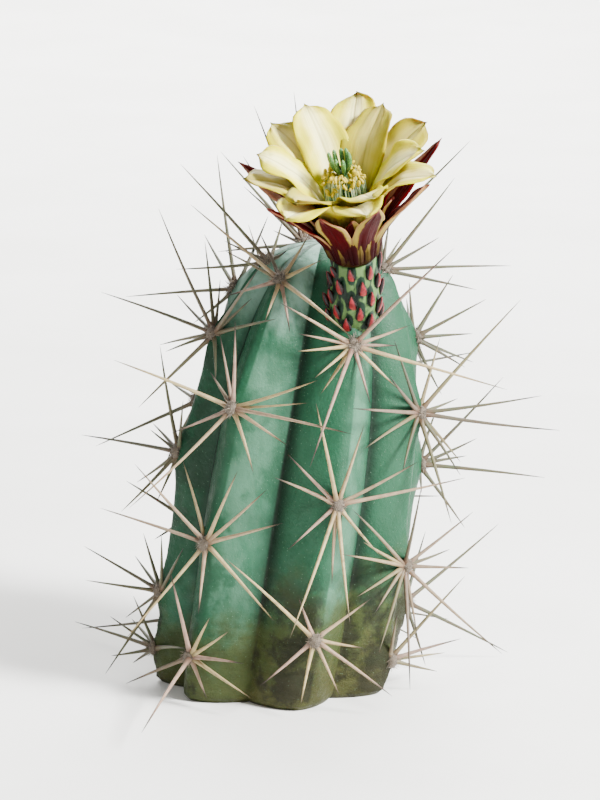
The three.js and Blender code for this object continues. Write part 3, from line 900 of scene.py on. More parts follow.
def turns(count: int) -> list[float]:
    """Return equal steps round a circle, in radians."""
    return [2 * math.pi * step / count for step in range(count)]


def polar(angle: float, radius: float = 1.0, height: float = 0.0) -> Vector:
    """Return the point at an angle round the Z axis, in radians."""
    return Vector((radius * math.cos(angle), radius * math.sin(angle), height))


def lathe(
    name: str,
    rings: Sequence[np.ndarray],
    bottom: Sequence[float],
    top: Sequence[float],
    **fields: Any,
) -> bpy.types.Mesh:
    """Close a stack of equal rings with a fan at each end.

    Args:
        name: Name of the mesh.
        rings: Rings of points, each anticlockwise seen from the last one.
        bottom: Middle of the first ring's cap.
        top: Middle of the last ring's cap.
        fields: Values for each point of the rings and then the two middles.

    Returns:
        The closed mesh.
    """
    count = len(rings[0])
    points = np.vstack([*rings, [bottom], [top]])
    low, high = len(points) - 2, len(points) - 1
    faces: list[tuple[int, ...]] = []
    for side in range(count):
        after = (side + 1) % count
        faces.append((low, after, side))
        for ring in range(len(rings) - 1):
            base = ring * count
            faces.append((base + side, base + after, base + count + after, base + count + side))
        last = (len(rings) - 1) * count
        faces.append((high, last + side, last + after))
    return to_mesh(name, points, faces, **fields)


# ------------------------------------------------------------------------- stem


@dataclass(frozen=True)
class Rib:
    """One rib: its bearing, and the heights of its areoles from the top down."""

    name: str
    bearing: float
    heights: tuple[float, ...]


@dataclass(frozen=True)
class Areole:
    """A felt pad's place on the stem, with the directions round it."""

    node: str
    centre: Vector
    along: Vector
    across: Vector
    out: Vector
    height: float


class SkinShape(Shape):
    """Raises fine wrinkles and scabs on the plain stem."""

    def __init__(self, material: bpy.types.Material) -> None:
        """Build the tree.

        Args:
            material: The stem's finish.
        """
        super().__init__("stem_wrinkles")
        wave = self.size("Wave", "Float", 0.2)
        crease = self.size("Crease", "Float", 0.2)
        seed = self.size("Seed", "Float", 3.0)
        place = self.scaled(self.add("GeometryNodeInputPosition").outputs[0], 1 / MM)
        level = self.named("level")
        seat = self.eased(self.named("areole"), 1.5, 5.0)
        foot = self.eased(level, 0.004, 0.02)
        upright = self.vector("MULTIPLY", place, (1.0, 1.0, 0.4))
        slow = self.add("ShaderNodeTexNoise", upright, seed, 0.13, 3.0, 0.5,
                        noise_dimensions="4D").outputs[0]
        flat = self.vector("MULTIPLY", place, (0.35, 0.35, 1.6))
        quick = self.add("ShaderNodeTexNoise", flat, seed, 0.42, 4.0, 0.6,
                         noise_dimensions="4D").outputs[0]
        swell = self.times(self.minus(slow, 0.5), wave)
        scab = self.times(self.minus(quick, 0.5), crease)
        scab = self.times(scab, self.eased(level, 0.1, 0.42, 1.0, 0.12))
        rise = self.times(self.plus(swell, scab), self.times(seat, foot))
        offset = self.scaled(self.add("GeometryNodeInputNormal").outputs[0], self.times(rise, MM))
        moved = self.add("GeometryNodeSetPosition", self.source, None, None, offset).outputs[0]
        self.close(moved, material)


@dataclass
class Stem:
    """The leaning ribbed column with its low tubercles."""

    height: float = 88.5
    radius: float = 24.4
    shoulder: float = 30.0
    foot_draw: float = 0.7
    foot_power: float = 1.5
    foot_bevel: float = 1.0
    lean: float = 0.1034
    dome_power: float = 2.5
    twist: float = 0.14
    twist_zero: float = 40.0
    groove_depth: float = 0.2
    groove_power: float = 1.25
    rib_span: float = 45.0
    tubercle: float = 1.5
    tubercle_length: float = 5.5
    fade_radius: float = 12.0
    slope_step: float = 1.5
    crest_round: float = 0.04
    # Where the flank with painted light begins, as a share of each rib.
    lit_start: float = 0.08
    steps: int = 36
    floor_rings: Pair = (0.35, 0.7)
    bevel_rows: tuple[float, ...] = (0.0, 0.35, 0.7)
    foot_rows: int = 56
    dome_rows: int = 120
    wave: float = 0.9
    crease: float = 1.1
    ribs: tuple[Rib, ...] = (
        Rib("a", -77, (86, 72, 48, 19, 7)),
        Rib("b", -41, (84, 60, 33, 9.5)),
        Rib("c", 17.5, (72.5, 42, 15)),
        Rib("d", 66, (84.5, 56.5, 26, 7)),
        Rib("e", 105, (68, 42, 14)),
        Rib("f", 150, (83, 58, 32, 9)),
        Rib("g", 195, (87, 70, 44, 17)),
        Rib("h", 239, (78, 54, 29, 8)),
    )

    def crest(self, height: float) -> float:
        """Measure from the axis to the crests, without tubercles.

        Args:
            height: Height above the foot.

        Returns:
            The distance.
        """
        if height < self.shoulder:
            below = (self.shoulder - height) / self.shoulder
            return self.radius - self.foot_draw * below ** self.foot_power
        rise = min(1.0, (height - self.shoulder) / (self.height - self.shoulder))
        return self.radius * (1 - rise ** self.dome_power) ** (1 / self.dome_power)

    def swelling(self, rib: Rib, height: float) -> float:
        """Measure how far a rib's tubercles stand out.

        Args:
            rib: The rib.
            height: Height above the foot.

        Returns:
            The distance that they add.
        """
        fade = min(1.0, self.crest(height) / self.fade_radius)
        away = [(height - place) / self.tubercle_length for place in rib.heights]
        return fade * self.tubercle * sum(math.exp(-offset * offset) for offset in away)

    def turned(self, rib: Rib, height: float) -> float:
        """Return a rib's bearing at a height, in degrees."""
        return rib.bearing + self.twist * (height - self.twist_zero)

    def around(self, bearing: float, height: float, radius: float) -> Vector:
        """Find a point round the leaning axis.

        Args:
            bearing: Its bearing, in degrees.
            height: Height above the foot.
            radius: Distance from the axis.

        Returns:
            The point.
        """
        angle = math.radians(bearing)
        sideways = self.lean * height + radius * math.sin(angle)
        return Vector((sideways, -radius * math.cos(angle), height))

    def on_crest(self, rib: Rib, height: float) -> Vector:
        """Return the point of a rib's crest at a height."""
        radius = self.crest(height) + self.swelling(rib, height)
        return self.around(self.turned(rib, height), height, radius)

    def areoles(self) -> list[Areole]:
        """Find every felt pad's place.

        Returns:
            The areoles, in the order of the ribs and from the top down.
        """
        found = []
        for rib in self.ribs:
            for index, height in enumerate(rib.heights):
                upper = self.on_crest(rib, min(height + self.slope_step, self.height))
                along = (upper - self.on_crest(rib, height - self.slope_step)).normalized()
                out = polar(math.radians(self.turned(rib, height))).cross(along).normalized()
                across = along.cross(out).normalized()
                node = f"spine_cluster_{rib.name}{index + 1}"
                centre = self.on_crest(rib, height)
                found.append(Areole(node, centre, along, across, out, height))
        return found

    def rows(self) -> list[float]:
        """Choose the heights of the rings of points.

        Returns:
            The heights, from the foot up.
        """
        foot = [*self.bevel_rows, self.foot_bevel]
        span = self.shoulder - self.foot_bevel
        foot += [self.foot_bevel + span * row / self.foot_rows
                 for row in range(1, self.foot_rows + 1)]
        rise = self.height - self.shoulder
        dome = [self.shoulder + rise * math.sin(row / self.dome_rows * math.pi / 2)
                for row in range(1, self.dome_rows)]
        return foot + dome

    def ring(self, height: float) -> tuple[np.ndarray, np.ndarray, np.ndarray]:
        """Make one ring of the stem's surface.

        Args:
            height: Its height.

        Returns:
            Its points, how near each is to a crest, from 0 to 1, and 1 on the flanks that carry
            painted light.
        """
        share = np.arange(self.steps) / self.steps
        to_groove = 1 - np.abs(2 * share - 1)
        soft = np.sqrt(to_groove ** 2 + self.crest_round ** 2) - self.crest_round
        soft = soft / (math.sqrt(1 + self.crest_round ** 2) - self.crest_round)
        crest = self.crest(height)
        bevel = max(0.0, self.foot_bevel - height)
        bearings, radii = [], []
        for index, rib in enumerate(self.ribs):
            after = self.ribs[(index + 1) % len(self.ribs)]
            span = (after.bearing - rib.bearing) % 360
            depth = self.groove_depth * math.sqrt(span / self.rib_span) * soft ** self.groove_power
            lift = np.where(share < 0.5, self.swelling(rib, height), self.swelling(after, height))
            bearings.append(self.turned(rib, height) + span * share)
            radii.append(crest * (1 - depth) + lift * (1 - to_groove) ** 2 - bevel)
        angle = np.radians(np.concatenate(bearings))
        radius = np.concatenate(radii)
        points = np.stack([
            self.lean * height + radius * np.sin(angle),
            -radius * np.cos(angle),
            np.full(len(angle), height),
        ], axis=1)
        # 1 on the flank of each rib that carries painted light, 0 on the flank left in painted
        # shade.
        waxed = np.where((share > self.lit_start) & (share < 0.5), 1.0, 0.0)
        return points, np.tile(1 - to_groove, len(self.ribs)), np.tile(waxed, len(self.ribs))

    def build(self) -> None:
        """Make the stem's piece."""
        heights = self.rows()
        rings, crests, flanks = zip(*(self.ring(height) for height in heights))
        inner = [rings[0] * (share, share, 0) for share in self.floor_rings]
        rings = (*inner, *rings)
        crests = (*(np.zeros_like(crests[0]) for _ in inner), *crests)
        flanks = (*(flanks[0] for _ in inner), *flanks)
        bottom, top = (0.0, 0.0, 0.0), (self.lean * self.height, 0.0, self.height)
        points = np.vstack([*rings, [bottom], [top]])
        centres = np.array([tuple(areole.centre) for areole in self.areoles()])
        nearest = np.min(np.linalg.norm(points[:, None, :] - centres[None], axis=2), axis=1)
        plain = lathe("stem", rings, bottom, top, areole=nearest, level=points[:, 2] / self.height,
                      crest=np.concatenate([*crests, [0.0], [1.0]]),
                      waxed=np.concatenate([*flanks, [0.0], [0.0]]))
        skin = SkinShape(StemFinish().make()).run(plain, Wave=self.wave, Crease=self.crease)
        show("stem_column", skin, Slot.STEM, "stem")


# ----------------------------------------------------------------------- spines


class Sweep(Shape):
    """Turns chains of edges into closed round strands."""

    def __init__(self, name: str, material: bpy.types.Material, sides: int) -> None:
        """Build the tree.

        Args:
            name: Name of the tree.
            material: Finish of the strands.
            sides: Sides of a strand.
        """
        super().__init__(name)
        count = self.size("Sides", "Int", sides)
        strands = self.add("GeometryNodeMeshToCurve", self.source).outputs[0]
        ring = self.add("GeometryNodeCurvePrimitiveCircle", count, mode="RADIUS")
        ring.inputs["Radius"].default_value = 1.0
        girth = self.named("girth")
        tube = self.add("GeometryNodeCurveToMesh", strands, ring.outputs[0], girth, True)
        self.close(tube.outputs[0], material)


class Strands:
    """Chains of points with their girth and other numbers, ready to be swept."""

    def __init__(self) -> None:
        """Start with no points."""
        self.points: list[tuple[float, ...]] = []
        self.edges: list[tuple[int, int]] = []
        self.fields: dict[str, list[float]] = {}

    def add(self, place: Vector, starts: bool, radius: float, **fields: float) -> None:
        """Add the next point of a chain.

        Args:
            place: Where it is, in millimetres.
            starts: Whether it is the first of a new chain.
            radius: The strand's radius there, in millimetres.
            fields: The other numbers that its surface carries.
        """
        if not starts:
            self.edges.append((len(self.points) - 1, len(self.points)))
        self.points.append(tuple(place))
        for name, value in {"girth": radius * MM, **fields}.items():
            self.fields.setdefault(name, []).append(value)

    def mesh(self, name: str) -> bpy.types.Mesh:
        """Return the chains as a mesh of loose edges."""
        return to_mesh(name, self.points, (), self.edges, **self.fields)


class Felt(Shape):
    """Plants short hairs on a pad."""

    def __init__(self, material: bpy.types.Material) -> None:
        """Build the tree.

        Args:
            material: Finish of the pad and its hairs.
        """
        super().__init__("areole_wool")
        hair = self.size("Hair", "Object")
        density = self.size("Density", "Float", 1.0)
        length = self.size("Length", "Float", 1.0)
        seed = self.size("Seed", "Int", 1)
        spread = self.add("GeometryNodeDistributePointsOnFaces", self.source)
        self.feed(spread.inputs["Density"], density)
        self.feed(spread.inputs["Seed"], seed)
        roots = self.stored(spread.outputs["Points"], "tone", self.chance(0.0, 1.0, seed, 1))
        low, high = (-0.7, -0.7, -3.1), (0.7, 0.7, 3.1)
        tilt = self.add("FunctionNodeRandomValue", low, high, data_type="FLOAT_VECTOR")
        self.feed(tilt.inputs["Seed"], seed)
        bent = self.add("FunctionNodeEulerToRotation", tilt.outputs[0]).outputs[0]
        straight = spread.outputs["Rotation"]
        turn = self.add("FunctionNodeRotateRotation", straight, bent, rotation_space="LOCAL")
        long = self.times(length, self.chance(0.55, 1.25, seed, 2))
        size = self.joined(long, long, long)
        shown = self.add("GeometryNodeObjectInfo", hair).outputs["Geometry"]
        hairs = self.add("GeometryNodeInstanceOnPoints", roots, None, shown)
        self.feed(hairs.inputs["Rotation"], turn.outputs[0])
        self.feed(hairs.inputs["Scale"], size)
        self.close(self.together(hairs.outputs[0], self.source), material)

    def chance(self, low: float, high: float, seed: Any, step: int) -> bpy.types.NodeSocket:
        """Return a random number for each point.

        Args:
            low: The least number.
            high: The greatest number.
            seed: The tree's seed.
            step: A different number for each use of the seed.

        Returns:
            The output with the number.
        """
        node = self.add("FunctionNodeRandomValue", data_type="FLOAT")
        node.inputs[2].default_value = low
        node.inputs[3].default_value = high
        self.feed(node.inputs["Seed"], self.plus(seed, float(step)))
        return node.outputs[1]


@dataclass
class Spine:
    """A needle from its root to its tip."""

    root: Vector
    tip: Vector
    stout: bool


@dataclass
class Spines:
    """The clusters of needles on their felt pads."""

    areoles: list[Areole]
    root_depth: float = 0.7
    apex_angle: float = 0.8
    stout_radius: float = 0.47
    fine_radius: float = 0.31
    stations: tuple[float, ...] = (0, 0.02, 0.05, 0.1, 0.2, 0.34, 0.5, 0.66, 0.8, 0.91, 0.97, 1.0)
    taper: float = 0.64
    least_radius: float = 0.02
    bulb: float = 0.45
    bulb_at: float = 1.0
    bulb_reach: float = 0.9
    bow: float = 0.014
    sides: int = 8
    pad_along: float = 1.5
    pad_across: float = 1.2
    pad_out: float = 0.85
    pad_sides: int = 18
    pad_rows: int = 9
    hair_density: float = 9.0
    hair_length: float = 0.85
    hair_rows: tuple[tuple[float, ...], ...] = (
        (0.0, 0.055, 0.0), (0.45, 0.04, 0.08), (0.8, 0.024, 0.2),
    )
    hair_turns: tuple[float, ...] = (0.0, 2.1, 4.2)
    seed: int = 11
    sweep: Sweep = field(init=False)
    felt: Felt = field(init=False)
    hair: bpy.types.Object = field(init=False)

    def __post_init__(self) -> None:
        """Build the trees and the one hair that they repeat."""
        self.sweep = Sweep("needles", SpineFinish().make(), self.sides)
        self.felt = Felt(FeltFinish().make())
        rings = [np.array([
            (bend + radius * math.cos(turn), radius * math.sin(turn), height)
            for turn in self.hair_turns
        ]) for height, radius, bend in self.hair_rows]
        mesh = lathe("hair", rings, (0, 0, -0.02), (0.3, 0, 1.0))
        self.hair = bpy.data.objects.new("hair", mesh)

    def needles(self, areole: Areole) -> list[Spine]:
        """Read the needles of a cluster from its node.

        Args:
            areole: The cluster's areole.

        Returns:
            Its needles, in a fixed order.
        """
        root = areole.centre - areole.out * self.root_depth
        work = bmesh.new()
        work.from_mesh(bpy.data.objects[areole.node].data)
        bmesh.ops.remove_doubles(work, verts=work.verts, dist=WELD)
        found = []
        for vertex in work.verts:
            if sum(loop.calc_angle() for loop in vertex.link_loops) < self.apex_angle:
                found.append(Spine(root, vertex.co / MM, len(vertex.link_edges) > 3))
        work.free()
        return sorted(found, key=lambda spine: tuple(spine.tip))

    def strands(self, areole: Areole, needles: Sequence[Spine],
                chance: random.Random) -> bpy.types.Mesh:
        """Lay the middle lines of a cluster's needles.

        Args:
            areole: The cluster's areole.
            needles: Its needles.
            chance: Source of the small differences.

        Returns:
            Chains of edges with their girth and tones.
        """
        strands = Strands()
        for needle in needles:
            line = needle.tip - needle.root
            length = line.length
            aside = line.cross(areole.out).normalized()
            upward = aside.cross(line).normalized()
            swing = chance.uniform(0, 2 * math.pi)
            sideways = aside * math.cos(swing) + upward * math.sin(swing)
            bow = self.bow * length * chance.uniform(0.4, 1.0)
            girth = self.stout_radius if needle.stout else self.fine_radius
            girth *= chance.uniform(0.92, 1.06)
            tone = chance.random()
            facing = line.normalized().y
            side = float(smooth(areole.out.y, -0.8, -0.15))
            shade = min(1.0, max(side, 0.25 + 0.75 * facing) + chance.uniform(-0.2, 0.2))
            for place in self.stations:
                spot = needle.root + line * place + sideways * bow * math.sin(math.pi * place)
                beside = (place * length - self.bulb_at) / self.bulb_reach
                bulb = 1 + self.bulb * math.exp(-beside ** 2)
                radius = max(self.least_radius, girth * bulb * (1 - place) ** self.taper)
                strands.add(spot, place == 0, radius, along=place, tone=tone, shade=shade)
        return strands.mesh("strands")

    def pad(self, areole: Areole, chance: random.Random) -> bpy.types.Mesh:
        """Make the low cushion that the hairs grow from.

        Args:
            areole: Its place.
            chance: Source of the small differences.

        Returns:
            The closed cushion.
        """
        basis = Matrix((areole.across, areole.along, areole.out)).transposed()
        rings = []
        lumps = [chance.uniform(0.9, 1.1) for _ in range(self.pad_sides)]
        for row in range(1, self.pad_rows):
            rise = -math.cos(math.pi * row / self.pad_rows)
            reach = math.sqrt(1 - rise * rise)
            ring = []
            for turn, lump in zip(turns(self.pad_sides), lumps):
                wide = reach * lump
                across = self.pad_across * wide * math.cos(turn)
                along = self.pad_along * wide * math.sin(turn)
                local = Vector((across, along, self.pad_out * rise))
                ring.append(tuple(areole.centre + basis @ local))
            rings.append(np.array(ring))
        low, high = (areole.centre + areole.out * self.pad_out * end for end in (-1, 1))
        count = len(rings) * self.pad_sides + 2
        return lathe("pad", rings, tuple(low), tuple(high), tone=np.full(count, 0.35))

    def build(self) -> None:
        """Make one piece for each cluster."""
        for index, areole in enumerate(self.areoles):
            chance = random.Random(self.seed + index)
            needles = self.needles(areole)
            young = float(smooth(areole.height, 40, 85))
            wool = self.felt.run(
                self.pad(areole, chance), Hair=self.hair, Density=self.hair_density / MM ** 2,
                Length=self.hair_length * (1 + 0.5 * young), Seed=self.seed + index,
            )
            spikes = self.sweep.run(self.strands(areole, needles, chance), Sides=self.sides)
            name = areole.node.replace("spine_cluster_", "spines_")
            show(name, fused(name, [spikes, wool]), Slot.SPINE, areole.node)
        bpy.data.objects.remove(self.hair)


# ----------------------------------------------------------------------- flower


class Draws:
    """Repeatable random numbers, drawn as the solids' petals draw theirs."""

    MASK = 0xFFFFFFFF
    STEP = 0x6D2B79F5

    def __init__(self, seed: int) -> None:
        """Start the row of numbers."""
        self.state = seed

    def next(self) -> float:
        """Draw the next number.

        Returns:
            A number from 0 to 1.
        """
        self.state = (self.state + self.STEP) & self.MASK
        mixed = ((self.state ^ (self.state >> 15)) * (1 | self.state)) & self.MASK
        stirred = ((mixed ^ (mixed >> 7)) * (61 | mixed)) & self.MASK
        mixed = ((mixed + stirred) & self.MASK) ^ mixed
        return ((mixed ^ (mixed >> 14)) & self.MASK) / 2 ** 32


@dataclass(frozen=True)
class FlowerPlace:
    """The bent axis of the tube, and the tilt of the open flower on it."""

    path: tuple[tuple[float, ...], ...] = (
        (14.3, -9.5, 73), (15.6, -15.6, 78.6), (15.3, -17.6, 89.7),
    )
    tilt: float = 22.0
    side_tilt: float = -8.0

    def matrix(self) -> Matrix:
        """Place the open flower.

        Returns:
            Its matrix, in millimetres.
        """
        aside = Matrix.Rotation(math.radians(self.side_tilt), 4, "Y")
        forward = Matrix.Rotation(math.radians(self.tilt), 4, "X")
        return Matrix.Translation(self.path[2]) @ aside @ forward

    def frame(self, along: float) -> tuple[Vector, Vector, Vector, Vector]:
        """Find the tube's axis at a place along it.

        Args:
            along: The place, from 0 at the stem to 1 at the flower.

        Returns:
            Its centre, its direction, and the two directions across it.
        """
        low, middle, high = (Vector(point) for point in self.path)
        centre = low * (1 - along) ** 2 + middle * (2 * along * (1 - along)) + high * along ** 2
        tangent = ((middle - low) * (1 - along) + (high - middle) * along).normalized()
        upward = (self.matrix().to_3x3() @ Vector((0, 0, 1))).normalized()
        forward = tangent.lerp(upward, along).normalized()
        right = Vector((0, 1, 0)).cross(forward).normalized()
        return centre, forward, right, forward.cross(right)


class Scatter(Shape):
    """Repeats one small piece on points, each turned and scaled."""

    def __init__(self, name: str, material: bpy.types.Material) -> None:
        """Build the tree.

        Args:
            name: Name of the tree.
            material: Finish of the copies.
        """
        super().__init__(name)
        piece = self.size("Piece", "Object")
        shown = self.add("GeometryNodeObjectInfo", piece).outputs["Geometry"]
        copies = self.add("GeometryNodeInstanceOnPoints", self.source, None, shown)
        angles = self.named("turn", "FLOAT_VECTOR")
        turn = self.add("FunctionNodeEulerToRotation", angles).outputs[0]
        self.feed(copies.inputs["Rotation"], turn)
        self.feed(copies.inputs["Scale"], self.named("grow", "FLOAT_VECTOR"))
        self.close(copies.outputs[0], material)

    def place(self, piece: bpy.types.Object, seats: Sequence[Seat]) -> bpy.types.Mesh:
        """Put a copy of a piece at each seat.

        Args:
            piece: The piece, one millimetre to its unit.
            seats: A matrix, three factors and a tone for each copy.

        Returns:
            All the copies in one mesh.
        """
        points = [tuple(matrix.translation) for matrix, _, _ in seats]
        angles = [tuple(matrix.to_euler("XYZ")) for matrix, _, _ in seats]
        grows = [tuple(grow) for _, grow, _ in seats]
        tones = [tone for _, _, tone in seats]
        cloud = to_mesh("seats", points, turn=angles, grow=grows, tone=tones)
        return self.run(cloud, Piece=piece)


@dataclass
class FloralTube:
    """The green tube under the flower with its rows of red scales."""

    place: FlowerPlace
    profile: tuple[Pair, ...] = (
        (0.0, 2.6), (0.16, 3.9), (0.36, 4.9), (0.56, 5.0), (0.78, 4.5), (1.0, 4.3),
    )
    length: float = 18.0
    sides: int = 126
    rows: int = 72
    scale_rows: tuple[float, ...] = (0.42, 0.55, 0.68, 0.81, 0.94)
    scales_in_row: int = 7
    scale_length: float = 4.2
    scale_width: float = 2.1
    scale_thick: float = 1.5
    scale_lift: float = 7.0
    ridge: float = 0.32
    ridge_zero: float = 0.4
    ridge_power: float = 1.5
    ridge_below: float = 0.05
    ridge_reach: float = 0.085
    seed: int = 31

    def radius(self, along: float) -> float:
        """Measure the tube at a place along its axis, as one smooth curve.

        Args:
            along: The place, from 0 at the stem to 1 at the flower.

        Returns:
            The radius.
        """
        places = [place for place, _ in self.profile]
        radii = [radius for _, radius in self.profile]
        slopes = np.gradient(radii, places)
        index = min(len(places) - 2, max(0, int(np.searchsorted(places, along, "right")) - 1))
        span = places[index + 1] - places[index]
        t = (along - places[index]) / span
        return float(
            (2 * t ** 3 - 3 * t ** 2 + 1) * radii[index]
            + (t ** 3 - 2 * t ** 2 + t) * span * slopes[index]
            + (3 * t ** 2 - 2 * t ** 3) * radii[index + 1]
            + (t ** 3 - t ** 2) * span * slopes[index + 1]
        )

    def swelling(self, along: float, angle: float) -> float:
        """Measure how much of a scale's ridge stands at a place.

        Args:
            along: The place along the axis, from 0 to 1.
            angle: The place round it, in radians.

        Returns:
            The share of the ridge, from 0 to 1.
        """
        best = 0.0
        for row, place in enumerate(self.scale_rows):
            turn = 2 * math.pi * (row % 2) / 2 / self.scales_in_row
            beside = max(0.0, math.cos(self.scales_in_row * (angle - turn))) ** self.ridge_power
            below = (along - place + self.ridge_below) / self.ridge_reach
            best = max(best, beside * math.exp(-below * below))
        return best

    def apart(self, along: float, angle: float) -> float:
        """Measure how far a place is from every scale.

        Args:
            along: The place along the axis, from 0 to 1.
            angle: The place round it, in radians.

        Returns:
            0 on a scale, and 1 well away from all of them.
        """
        nearest = 9.0
        for row, place in enumerate(self.scale_rows):
            step = 2 * math.pi / self.scales_in_row
            turn = (angle - step * (row % 2) / 2 + step / 2) % step - step / 2
            beside = turn * self.radius(along) / self.scale_width
            above = (along - place) * self.length / self.scale_length
            nearest = min(nearest, math.hypot(beside, above))
        return float(smooth(nearest, 0.3, 0.52))

    def wall(self) -> bpy.types.Mesh:
        """Make the tube's ridged wall.

        Returns:
            The closed wall, with its finish.
        """
        rings, apart = [], []
        for row in range(self.rows + 1):
            along = row / self.rows
            centre, _, right, back = self.place.frame(along)
            ring = []
            for angle in turns(self.sides):
                ridge = self.ridge * (self.swelling(along, angle) - self.ridge_zero)
                reach = self.radius(along) + ridge * float(smooth(along, 0.0, 0.2))
                out = right * math.cos(angle) + back * math.sin(angle)
                ring.append(tuple(centre + out * reach))
                apart.append(self.apart(along, angle))
            rings.append(np.array(ring))
        ends = [tuple(self.place.frame(end)[0]) for end in (0.0, 1.0)]
        mesh = lathe("tube_wall", rings, *ends, apart=[*apart, 0.0, 0.0])
        return dressed(mesh, TubeFinish().make())

    def scale(self) -> bpy.types.Object:
        """Make one scale, two units long, wide and thick.

        Returns:
            The scale, outside the scene.
        """
        sides, rows = 12, 10
        rings, along, across = [], [], []
        for row in range(1, rows):
            share = row / rows
            wide = math.sin(math.pi * share ** 0.75) ** 0.8 * (1 - 0.35 * share)
            deep = math.sin(math.pi * share) ** 0.7
            bend = 0.55 * share ** 2
            ring = []
            for turn in turns(sides):
                rise = bend - deep * 0.8 * math.sin(turn)
                ring.append((wide * math.cos(turn), 2 * share - 1, rise))
                along.append(share)
                across.append(math.cos(turn))
            rings.append(np.array(ring))
        fields = {"along": [*along, 0.0, 1.0], "across": [*across, 0.0, 0.0]}
        mesh = lathe("scale", rings, (0, -1, 0), (0, 1, 0.6), **fields)
        return bpy.data.objects.new("scale", mesh)

    def seats(self) -> list[Seat]:
        """Place every scale on the tube.

        Returns:
            A matrix, three factors and a tone for each.
        """
        chance = random.Random(self.seed)
        seats = []
        for row, along in enumerate(self.scale_rows):
            centre, forward, right, back = self.place.frame(along)
            for item in range(self.scales_in_row):
                place = item + (row % 2) / 2 + chance.uniform(-0.09, 0.09)
                angle = 2 * math.pi * place / self.scales_in_row
                out = right * math.cos(angle) + back * math.sin(angle)
                lift = math.radians(self.scale_lift + chance.uniform(-6, 4))
                rise = forward * math.cos(lift) + out * math.sin(lift)
                side = rise.cross(out).normalized()
                face = side.cross(rise).normalized()
                deep = self.radius(along) + self.scale_thick * 0.12
                shift = self.scale_length * chance.uniform(-0.12, 0.02)
                matrix = Matrix((side, rise, face)).transposed().to_4x4()
                matrix.translation = centre + out * deep + rise * shift
                size = chance.uniform(0.8, 1.1)
                wide, long = self.scale_width * size, self.scale_length * size
                grow = Vector((wide, long, self.scale_thick)) / 2
                seats.append((matrix, grow, chance.random()))
        return seats

    def build(self) -> None:
        """Make the tube's piece."""
        scale = self.scale()
        scales = Scatter("tube_scales", ScaleFinish().make()).place(scale, self.seats())
        bpy.data.objects.remove(scale)
        mesh = fused("floral_tube_skin", [self.wall(), scales])
        show("floral_tube_skin", mesh, Slot.TUBE, "floral_tube")


